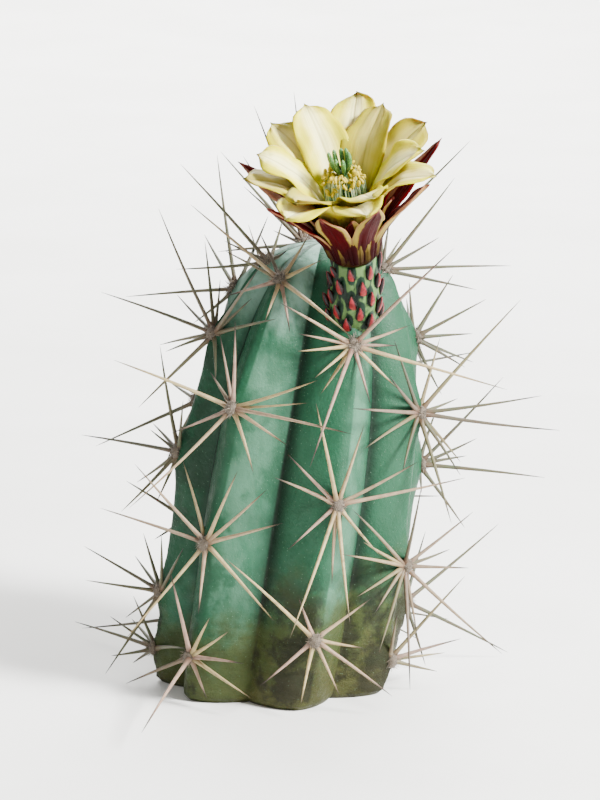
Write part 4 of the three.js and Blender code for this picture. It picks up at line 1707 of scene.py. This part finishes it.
class PetalShape(Shape):
    """One petal: a thin cupped blade along a bent line."""

    WAVES = 13.0
    PLEATS = 15.0
    BOWL = 2.8
    LEAST_BOWL = 14.0

    def __init__(self, name: str, material: bpy.types.Material, outline: Sequence[Pair]) -> None:
        """Build the tree.

        Args:
            name: Name of the tree.
            material: The petal's finish.
            outline: Share of the full width at places along the petal.
        """
        super().__init__(name)
        controls = [self.size(label, "Vector") for label in ("Foot", "Low", "High", "Tip")]
        side = self.size("Side", "Vector")
        self.phase = self.size("Phase", "Float", 0.0)
        sheet = self.sheet()
        self.across, self.along = self.named("across"), self.named("along")
        self.edge = self.maths("ABSOLUTE", self.across)
        middle, forward = self.bent(controls)
        upper = self.vector("CROSS_PRODUCT", forward, side)
        width = self.width(outline)
        rise = self.plus(self.cup(middle, width), *self.folds())
        push = self.times(self.size("Point", "Float", 0.001), self.eased(self.along, 0.8, 1.0))
        push = self.times(push, self.eased(self.edge, 0.0, 0.9, 1.0, 0.3))
        plane = self.total(middle, self.scaled(side, self.times(self.across, width)),
                           self.scaled(forward, push), self.scaled(upper, rise))
        blade = self.thickened(sheet, plane, upper)
        self.close(self.stored(blade, "tone", self.size("Tone", "Float", 0.5)), material)

    def sheet(self) -> bpy.types.NodeSocket:
        """Lay out a flat sheet that knows its places across and along it.

        Returns:
            The sheet.
        """
        columns = self.size("Columns", "Int", 21)
        rows = self.size("Rows", "Int", 34)
        sheet = self.add("GeometryNodeMeshGrid", 2.0, 1.0, columns, rows).outputs[0]
        flat = self.add("ShaderNodeSeparateXYZ", self.add("GeometryNodeInputPosition").outputs[0])
        sheet = self.stored(sheet, "across", flat.outputs[0])
        return self.stored(sheet, "along", self.plus(flat.outputs[1], 0.5))

    def width(self, outline: Sequence[Pair]) -> bpy.types.NodeSocket:
        """Measure half the petal's width, with its edges a little frayed.

        Args:
            outline: Share of the full width at places along the petal.

        Returns:
            The output with the width.
        """
        fraying = self.size("Fray", "Float", 0.2)
        half = self.size("Half Width", "Float", 0.004)
        spot = self.joined(self.maths("SIGN", self.across), self.times(self.along, 5.0), self.phase)
        fray = self.minus(self.add("ShaderNodeTexNoise", spot, None, 1.3, 3.0, 0.6).outputs[0], 0.5)
        fray = self.times(self.times(fray, fraying), self.eased(self.along, 0.3, 0.8))
        return self.times(self.times(half, self.outlined(outline)), self.plus(fray, 1.0))

    def cup(self, middle: Any, width: Any) -> bpy.types.NodeSocket:
        """Return how far the blade bends up beside its middle line.

        Args:
            middle: The point on the middle line.
            width: Half the blade's width there.

        Returns:
            The output with the height.
        """
        outward = self.size("Outward", "Vector")
        away = self.vector("SUBTRACT", middle, self.size("Axis", "Vector"))
        deepness = self.size("Cup", "Float", 1.0)
        reach = self.add("ShaderNodeVectorMath", away, outward,
                         operation="DOT_PRODUCT").outputs["Value"]
        bowl = self.maths("MAXIMUM", self.times(reach, self.BOWL), self.LEAST_BOWL * MM)
        cup = self.maths("DIVIDE", self.times(width, width), bowl)
        return self.times(cup, self.times(deepness, self.maths("POWER", self.edge, 1.7)))

    def folds(self) -> tuple[Any, ...]:
        """Shape the fine relief of the blade.

        Returns:
            Heights of the waves, the slow drift, the pleats and the middle rib.
        """
        across, along = self.across, self.along
        ruffle = self.size("Ruffle", "Float", 0.0004)
        angle = self.plus(self.times(along, self.WAVES), self.phase, self.times(across, 1.3))
        wave = self.times(self.times(self.maths("SINE", angle), ruffle),
                          self.maths("POWER", self.edge, 2.5))
        wave = self.times(wave, self.eased(along, 0.25, 0.7))
        spot = self.joined(across, self.times(along, 2.2), self.phase)
        drift = self.add("ShaderNodeTexNoise", spot, None, 1.1, 2.0, 0.5).outputs[0]
        drift = self.times(self.minus(drift, 0.5),
                           self.times(ruffle, self.eased(along, 0.2, 0.8, 0.0, 3.0)))
        pleat = self.maths("COSINE", self.times(across, self.PLEATS))
        pleat = self.times(pleat, self.eased(along, 0.1, 0.95, 0.00009, 0.00003))
        return wave, drift, pleat, self.eased(self.edge, 0.0, 0.16, -0.00022, 0.0)

    def thickened(self, sheet: Any, plane: Any, upper: Any) -> bpy.types.NodeSocket:
        """Make the closed blade from two copies of the sheet.

        Args:
            sheet: The flat sheet.
            plane: Where its points go.
            upper: The direction of the blade's inner face.

        Returns:
            The welded blade, with 1 stored as face on its inner side.
        """
        along = self.along
        rim = self.maths("SQRT", self.minus(1.0, self.maths("POWER", self.edge, 6.0)))
        ends = self.maths("SQRT", self.maths("MINIMUM", 1.0, self.times(along, 30.0)))
        close = self.maths("SQRT", self.minus(1.0, self.maths("POWER", along, 24.0)))
        thick = self.size("Thickness", "Float", 0.0004)
        body = self.times(self.times(rim, ends), self.times(close, thick))
        body = self.times(body, self.eased(along, 0.0, 1.0, 0.62, 0.36))
        faces = []
        for share, flip in ((-1.0, False), (1.0, True)):
            spotted = self.total(plane, self.scaled(upper, self.times(body, share)))
            face = self.add("GeometryNodeSetPosition", sheet, None, spotted).outputs[0]
            face = self.stored(face, "face", max(share, 0.0))
            faces.append(self.add("GeometryNodeFlipFaces", face).outputs[0] if flip else face)
        welded = self.add("GeometryNodeMergeByDistance", self.together(*faces))
        welded.inputs["Distance"].default_value = 2 * WELD
        return welded.outputs[0]

    def between(self, factor: Any, first: Any, second: Any) -> bpy.types.NodeSocket:
        """Find the point part of the way from one point to another.

        Args:
            factor: The share of the way.
            first: The point at 0.
            second: The point at 1.

        Returns:
            The output with the point.
        """
        node = self.add("ShaderNodeMix", data_type="VECTOR", clamp_factor=False)
        for index, value in ((0, factor), (4, first), (5, second)):
            self.feed(node.inputs[index], value)
        return node.outputs[1]

    def bent(self, controls: Sequence[Any]) -> tuple[Any, Any]:
        """Follow a cubic curve along the petal.

        Args:
            controls: Its four points.

        Returns:
            The point of the curve and its direction there.
        """
        first = [self.between(self.along, a, b) for a, b in zip(controls, controls[1:])]
        second = [self.between(self.along, a, b) for a, b in zip(first, first[1:])]
        forward = self.vector("NORMALIZE", self.vector("SUBTRACT", second[1], second[0]))
        return self.between(self.along, *second), forward

    def outlined(self, outline: Sequence[Pair]) -> bpy.types.NodeSocket:
        """Read the petal's outline.

        Args:
            outline: Share of the full width at places along the petal.

        Returns:
            The output with the share at each point's place.
        """
        node = self.add("ShaderNodeFloatCurve", 1.0, self.along)
        points = node.mapping.curves[0].points
        for place, share in outline[1:-1]:
            points.new(place, share)
        points[0].location, points[-1].location = outline[0], outline[-1]
        node.mapping.update()
        return node.outputs[0]


@dataclass(frozen=True)
class Whorl:
    """One round of petals along a bent line.

    At the front, nod lowers the tips and tuck draws them in.
    """

    count: int
    turn: float
    width: float
    nod: float
    tuck: float
    line: tuple[Pair, ...]


@dataclass
class Petals:
    """A hub with all the petals of its whorls."""

    name: str
    node: str
    slot: Slot
    finish: PetalFinish
    place: FlowerPlace
    hub: tuple[Pair, ...]
    whorls: tuple[Whorl, ...]
    outline: tuple[Pair, ...]
    point: float
    spread: float
    thickness: float
    ruffle: float
    seed: int
    fray: float = 0.22
    hub_sides: int = 40
    scatter: float = 8.0

    def lines(self) -> list[dict[str, Any]]:
        """Size every petal.

        Returns:
            The inputs of the petals' tree, for one petal after another.
        """
        draws = Draws(self.seed)
        matrix = self.place.matrix()
        turned = matrix.to_3x3()
        petals = []
        for whorl in self.whorls:
            for item in range(whorl.count):
                jitter = (draws.next() - 0.5) * self.scatter
                bearing = math.radians(whorl.turn + 360 * item / whorl.count + jitter)
                scale = 1 + (draws.next() - 0.5) * 2 * self.spread
                outward = Vector((math.sin(bearing), -math.cos(bearing), 0))
                sideways = Vector((math.cos(bearing), math.sin(bearing), 0))
                points = []
                for index, (out, high) in enumerate(whorl.line):
                    share = index / (len(whorl.line) - 1)
                    front = math.cos(bearing) * share ** 2
                    reach = out * (1 + (scale - 1) * share) - whorl.tuck * max(0.0, front)
                    rise = high * scale - whorl.nod * front if index else high
                    local = outward * reach + Vector((0, 0, rise))
                    points.append(tuple((matrix @ local) * MM))
                phase = 2.4 * len(petals)
                petals.append({
                    "Foot": points[0], "Low": points[1], "High": points[2], "Tip": points[3],
                    "Side": tuple(turned @ sideways), "Outward": tuple(turned @ outward),
                    "Axis": tuple(matrix.translation * MM), "Half_Width": whorl.width / 2 * MM,
                    "Phase": phase, "Tone": (0.5 + 0.5 * math.sin(phase * 1.7)),
                    "Cup": 1.1 + 0.5 * math.sin(phase * 3.1),
                })
        return petals

    def hub_mesh(self, material: bpy.types.Material) -> bpy.types.Mesh:
        """Make the round hub that the petals grow from.

        Args:
            material: Its finish.

        Returns:
            The closed hub.
        """
        matrix = self.place.matrix()
        rings = []
        for radius, height in self.hub[1:-1]:
            ring = [tuple(matrix @ polar(turn, radius, height)) for turn in turns(self.hub_sides)]
            rings.append(np.array(ring))
        ends = [tuple(matrix @ Vector((0, 0, height))) for _, height in (self.hub[0], self.hub[-1])]
        count = len(rings) * self.hub_sides + 2
        mesh = lathe("hub", rings, *ends, along=np.zeros(count), across=np.ones(count),
                     tone=np.full(count, 0.5))
        return dressed(mesh, material)

    def build(self) -> None:
        """Make the piece of this layer of petals."""
        material = self.finish.make()
        shape = PetalShape(f"{self.name}_blade", material, self.outline)
        meshes = [self.hub_mesh(material)]
        for sizes in self.lines():
            blank = bpy.data.meshes.new("blank")
            meshes.append(shape.run(blank, Thickness=self.thickness * MM, Point=self.point * MM,
                                    Ruffle=self.ruffle * MM, Fray=self.fray, **sizes))
        show(self.name, fused(self.name, meshes), self.slot, self.node)


@dataclass(frozen=True)
class StamenRow:
    """A round of stamens: their number, where they stand and where they end."""

    count: int
    radius: float
    tip_radius: float
    height: float


@dataclass
class Stamens:
    """Crowded filaments with pollen-yellow anthers."""

    place: FlowerPlace
    rows: tuple[StamenRow, ...] = (
        StamenRow(12, 1.9, 2.0, 18.4),
        StamenRow(17, 2.4, 2.6, 19.4),
        StamenRow(22, 2.8, 3.2, 19.0),
        StamenRow(28, 3.2, 3.8, 18.0),
    )
    ring: tuple[Pair, ...] = (
        (1.5, 10.9), (2.4, 10.75), (3.6, 10.8), (3.8, 11.2), (3.5, 11.75), (2.6, 11.9), (1.6, 11.7),
    )
    ring_sides: int = 36
    foot: float = 11.1
    girth: float = 0.15
    taper: float = 0.45
    bow: float = 0.5
    stations: int = 6
    sides: int = 6
    row_turn: float = 0.37
    height_range: Pair = (-1.4, 0.7)
    reach_range: Pair = (-0.4, 0.35)
    anther_length: float = 0.74
    anther_width: float = 0.44
    anther_lean: float = 0.9
    seed: int = 41

    def anther(self) -> bpy.types.Object:
        """Make one anther of two lobes, one unit to each side of its middle.

        Returns:
            The anther, outside the scene.
        """
        sides, rows = 10, 6
        rings = []
        for row in range(1, rows):
            lift = -math.cos(math.pi * row / rows)
            reach = math.sqrt(1 - lift * lift)
            ring = []
            for turn in turns(sides):
                lobe = reach * (0.72 + 0.28 * abs(math.cos(turn)))
                ring.append((lobe * math.cos(turn), lobe * 0.8 * math.sin(turn), lift))
            rings.append(np.array(ring))
        return bpy.data.objects.new("anther", lathe("anther", rings, (0, 0, -1), (0, 0, 1)))

    def build(self) -> None:
        """Make the piece of all the stamens."""
        chance = random.Random(self.seed)
        matrix = self.place.matrix()
        strands = Strands()
        seats: list[Seat] = []
        for number, row in enumerate(self.rows):
            for item in range(row.count):
                angle = 2 * math.pi * (item + self.row_turn * number) / row.count
                angle += chance.uniform(-0.07, 0.07)
                ray = polar(angle)
                tall = row.height + chance.uniform(*self.height_range)
                reach = row.tip_radius + chance.uniform(*self.reach_range)
                for station in range(self.stations):
                    share = station / (self.stations - 1)
                    out = row.radius + (reach - row.radius) * share
                    out += self.bow * math.sin(math.pi * share)
                    local = ray * out + Vector((0, 0, self.foot + (tall - self.foot) * share))
                    radius = self.girth * (1 - self.taper * share)
                    strands.add(matrix @ local, station == 0, radius, along=share)
                leans = [chance.uniform(-self.anther_lean, self.anther_lean) for _ in range(2)]
                lean = Euler((*leans, angle)).to_matrix().to_4x4()
                seat = matrix @ Matrix.Translation(ray * reach + Vector((0, 0, tall))) @ lean
                grow = Vector((self.anther_width, self.anther_width, self.anther_length))
                grow = grow * chance.uniform(0.85, 1.1)
                seats.append((seat, grow, chance.random()))
        finish = PollenFinish()
        threads = finish.filament()
        sweep = Sweep("filaments", threads, self.sides)
        filaments = sweep.run(strands.mesh("threads"), Sides=self.sides)
        anther = self.anther()
        anthers = Scatter("anthers", finish.anther()).place(anther, seats)
        bpy.data.objects.remove(anther)
        mesh = fused("stamens_all", [self.disc(threads), filaments, anthers])
        show("stamens_all", mesh, Slot.STAMEN, "stamens")

    def disc(self, material: bpy.types.Material) -> bpy.types.Mesh:
        """Make the low ring that the filaments grow from.

        Args:
            material: Its finish.

        Returns:
            The closed ring.
        """
        matrix = self.place.matrix()
        count = len(self.ring)
        points, faces = [], []
        for side, turn in enumerate(turns(self.ring_sides)):
            for radius, height in self.ring:
                points.append(tuple(matrix @ polar(turn, radius, height)))
            for step in range(count):
                here, beside = side * count, (side + 1) % self.ring_sides * count
                after = (step + 1) % count
                faces.append((here + step, beside + step, beside + after, here + after))
        return dressed(to_mesh("disc", points, faces, along=np.zeros(len(points))), material)


@dataclass
class Pistil:
    """The style with its finger-like stigma lobes."""

    place: FlowerPlace
    bottom: float = 10.75
    top: float = 19.6
    radius: float = 0.75
    lobes: int = 9
    lobe_length: float = 5.2
    lobe_radius: float = 0.42
    least_radius: float = 0.03
    length_range: Pair = (0.88, 1.04)
    spread: float = 15.0
    spread_range: Pair = (-5.0, 5.0)
    curl: float = 0.5
    sunk: float = 0.8
    root_ring: float = 0.5
    style: tuple[Pair, ...] = (
        (0.0, 0.85), (0.04, 1.0), (0.5, 0.9), (0.85, 1.0), (0.97, 1.25), (1.0, 0.9),
    )
    steps: int = 12
    sides: int = 14
    seed: int = 51

    def build(self) -> None:
        """Make the pistil's piece."""
        chance = random.Random(self.seed)
        matrix = self.place.matrix()
        strands = Strands()
        tall = self.top - self.bottom
        for share, wide in self.style:
            spot = matrix @ Vector((0, 0, self.bottom + tall * share))
            strands.add(spot, share == 0, self.radius * wide, along=0.0)
        for angle in turns(self.lobes):
            ray = polar(angle)
            lean = math.radians(self.spread + chance.uniform(*self.spread_range))
            length = self.lobe_length * chance.uniform(*self.length_range)
            for step in range(self.steps + 1):
                share = step / self.steps
                curl = self.curl * math.sin(math.pi * share)
                spot = ray * (self.root_ring + length * share * math.sin(lean) + curl)
                spot += Vector((0, 0, self.top - self.sunk + length * share * math.cos(lean)))
                wide = 0.7 + 0.45 * float(smooth(share, 0.0, 0.7))
                wide *= math.sqrt(max(0.0, 1 - share ** 7))
                radius = max(self.least_radius, self.lobe_radius * wide)
                strands.add(matrix @ spot, step == 0, radius, along=0.2 + 0.8 * share)
        sweep = Sweep("stigma_lobes", StigmaFinish().make(), self.sides)
        mesh = sweep.run(strands.mesh("lobes"), Sides=self.sides)
        show("pistil_lobes", mesh, Slot.STIGMA, "pistil")


# ----------------------------------------------------------------------- studio


def looking(place: Vector, away: Vector) -> Matrix:
    """Return the matrix of a camera or lamp at a place, with its back to a direction."""
    return Matrix.Translation(place * MM) @ away.to_track_quat("Z", "Y").to_matrix().to_4x4()


@dataclass(frozen=True)
class Lamp:
    """A round soft lamp: where it hangs, what it faces, how wide and how strong it is."""

    name: str
    place: tuple[float, float, float]
    aim: tuple[float, float, float]
    size: float
    power: float


@dataclass
class Studio:
    """Pale floor, soft light from the upper right, and the camera."""

    elevation: float = 14.0
    distance: float = 889.0
    lens: float = 200.0
    aim: Pair = (4.8, 55.2)
    floor_size: float = 6000.0
    ambient: float = 0.5
    lamps: tuple[Lamp, ...] = (
        Lamp("key", (640, -380, 590), (4.8, 0, 50), 240, 46.0),
        Lamp("fill", (-900, -600, 450), (4.8, 0, 50), 900, 1.6),
        Lamp("wash", (0, 800, 520), (0, 620, 0), 900, 26.0),
    )

    def camera(self) -> None:
        """Make the camera and make it the scene's own."""
        tilt = math.radians(self.elevation)
        upward = Vector((0, math.sin(tilt), math.cos(tilt)))
        away = Vector((0, -math.cos(tilt), math.sin(tilt)))
        data = bpy.data.cameras.new("camera")
        data.lens = self.lens
        data.sensor_width = 36
        data.clip_start = 0.01
        data.clip_end = 100
        camera = linked("camera", data)
        place = Vector((self.aim[0], 0, 0)) + upward * self.aim[1] + away * self.distance
        camera.matrix_world = looking(place, away)
        bpy.context.scene.camera = camera

    def lights(self) -> None:
        """Make the soft lamps and the white room."""
        for lamp in self.lamps:
            data = bpy.data.lights.new(lamp.name, "AREA")
            data.shape = "DISK"
            data.size = lamp.size * MM
            data.energy = lamp.power
            place = Vector(lamp.place)
            linked(lamp.name, data).matrix_world = looking(place, place - Vector(lamp.aim))
        world = bpy.data.worlds.new("room")
        world.use_nodes = True
        sky = world.node_tree.nodes["Background"]
        sky.inputs["Color"].default_value = (1.0, 1.0, 1.0, 1.0)
        sky.inputs["Strength"].default_value = self.ambient
        bpy.context.scene.world = world

    def floor(self) -> None:
        """Make the floor."""
        half = self.floor_size / 2
        corners = [(-half, -half, 0), (half, -half, 0), (half, half, 0), (-half, half, 0)]
        mesh = to_mesh("floor", corners, [(0, 1, 2, 3)])
        mesh.materials.append(FloorFinish().make())
        floor = linked("floor", mesh)

    def build(self) -> None:
        """Set up everything that isn't the plant."""
        self.camera()
        self.lights()
        self.floor()


# -------------------------------------------------------------------- the plant


def petal_layers(place: FlowerPlace) -> tuple[Petals, Petals]:
    """Describe the two layers of petals.

    Args:
        place: Where the flower is.

    Returns:
        The outer and the inner layer.
    """
    outer = Petals(
        name="outer_petals", node="outer_tepals", slot=Slot.OUTER, place=place,
        finish=PetalFinish(
            name="outer_petal", inside=("#6a060c", "#b97f6c"), outside=("#340104", "#8e7a34"),
            margin=(0.6, 0.74), foot="#160001", tip="#8a4a40", vein="#100102", stripe_and_highlight="#3a0408",
            stripe_and_highlight_share=0.7, tip_start=0.9, foot_end=0.55, drift=0.45,
            glow=0.0, gloss=0.03, skew=0.9,
        ),
        hub=((0.0, 0.3), (4.3, 0.3), (4.6, 1.0), (5.0, 2.2), (4.8, 2.4), (0.0, 2.4)),
        whorls=(
            Whorl(8, 22, 6.2, 1.2, 7.0, ((4.2, 1.0), (6.8, 8.4), (12.2, 11.9), (19.6, 18.5))),
            Whorl(10, 0, 4.0, 1.4, 0.8, ((4.7, 0.9), (6.3, 7.2), (7.3, 11.6), (9.8, 15.0))),
        ),
        outline=((0.0, 0.6), (0.25, 0.85), (0.5, 1.0), (0.75, 0.86), (0.9, 0.52), (0.97, 0.24),
                 (1.0, 0.0)),
        point=1.0, spread=0.06, thickness=0.62, ruffle=0.3, seed=5,
    )
    inner = Petals(
        name="inner_petals", node="inner_tepals", slot=Slot.INNER, place=place,
        finish=PetalFinish(
            name="inner_petal", inside=("#eee258", "#c8c000"), outside=("#988a34", "#aca018"),
            margin=(0.3, 0.84), foot="#645022", tip="#8c8418", vein="#625a12", stripe_and_highlight="#fbf6c4",
            stripe_and_highlight_share=0.66, tip_start=0.88, foot_end=0.5,
        ),
        hub=((0.0, 2.75), (3.2, 2.75), (3.8, 5.0), (4.5, 8.5), (4.9, 10.2), (4.6, 10.4),
             (0.0, 10.4)),
        whorls=(
            Whorl(6, 22, 9.6, 1.8, 0.0, ((3.9, 7.0), (4.8, 14.4), (7.8, 19.8), (14.8, 23.0))),
            Whorl(7, 12, 10.0, 1.6, 0.0, ((4.2, 5.4), (5.3, 14.0), (9.0, 19.0), (18.4, 21.8))),
        ),
        outline=((0.0, 0.36), (0.25, 0.62), (0.5, 0.96), (0.75, 1.0), (0.9, 0.84), (0.96, 0.55),
                 (0.99, 0.24), (1.0, 0.0)),
        point=1.0, spread=0.05, thickness=0.6, ruffle=0.7, seed=9,
    )
    return outer, inner


def corners(box: Any) -> list[list[float]]:
    """Return the two corners of a box as plain lists."""
    return [[float(value) for value in corner] for corner in box]


def main() -> None:
    """Build the studio and every piece of the plant."""
    logging.basicConfig(level=logging.INFO, format="%(name)s: %(message)s")
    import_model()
    Studio().build()
    place = FlowerPlace()
    stem = Stem()
    stem.build()
    Spines(stem.areoles()).build()
    FloralTube(place).build()
    for layer in petal_layers(place):
        layer.build()
    Stamens(place).build()
    Pistil(place).build()


if __name__ == "__main__":
    main()
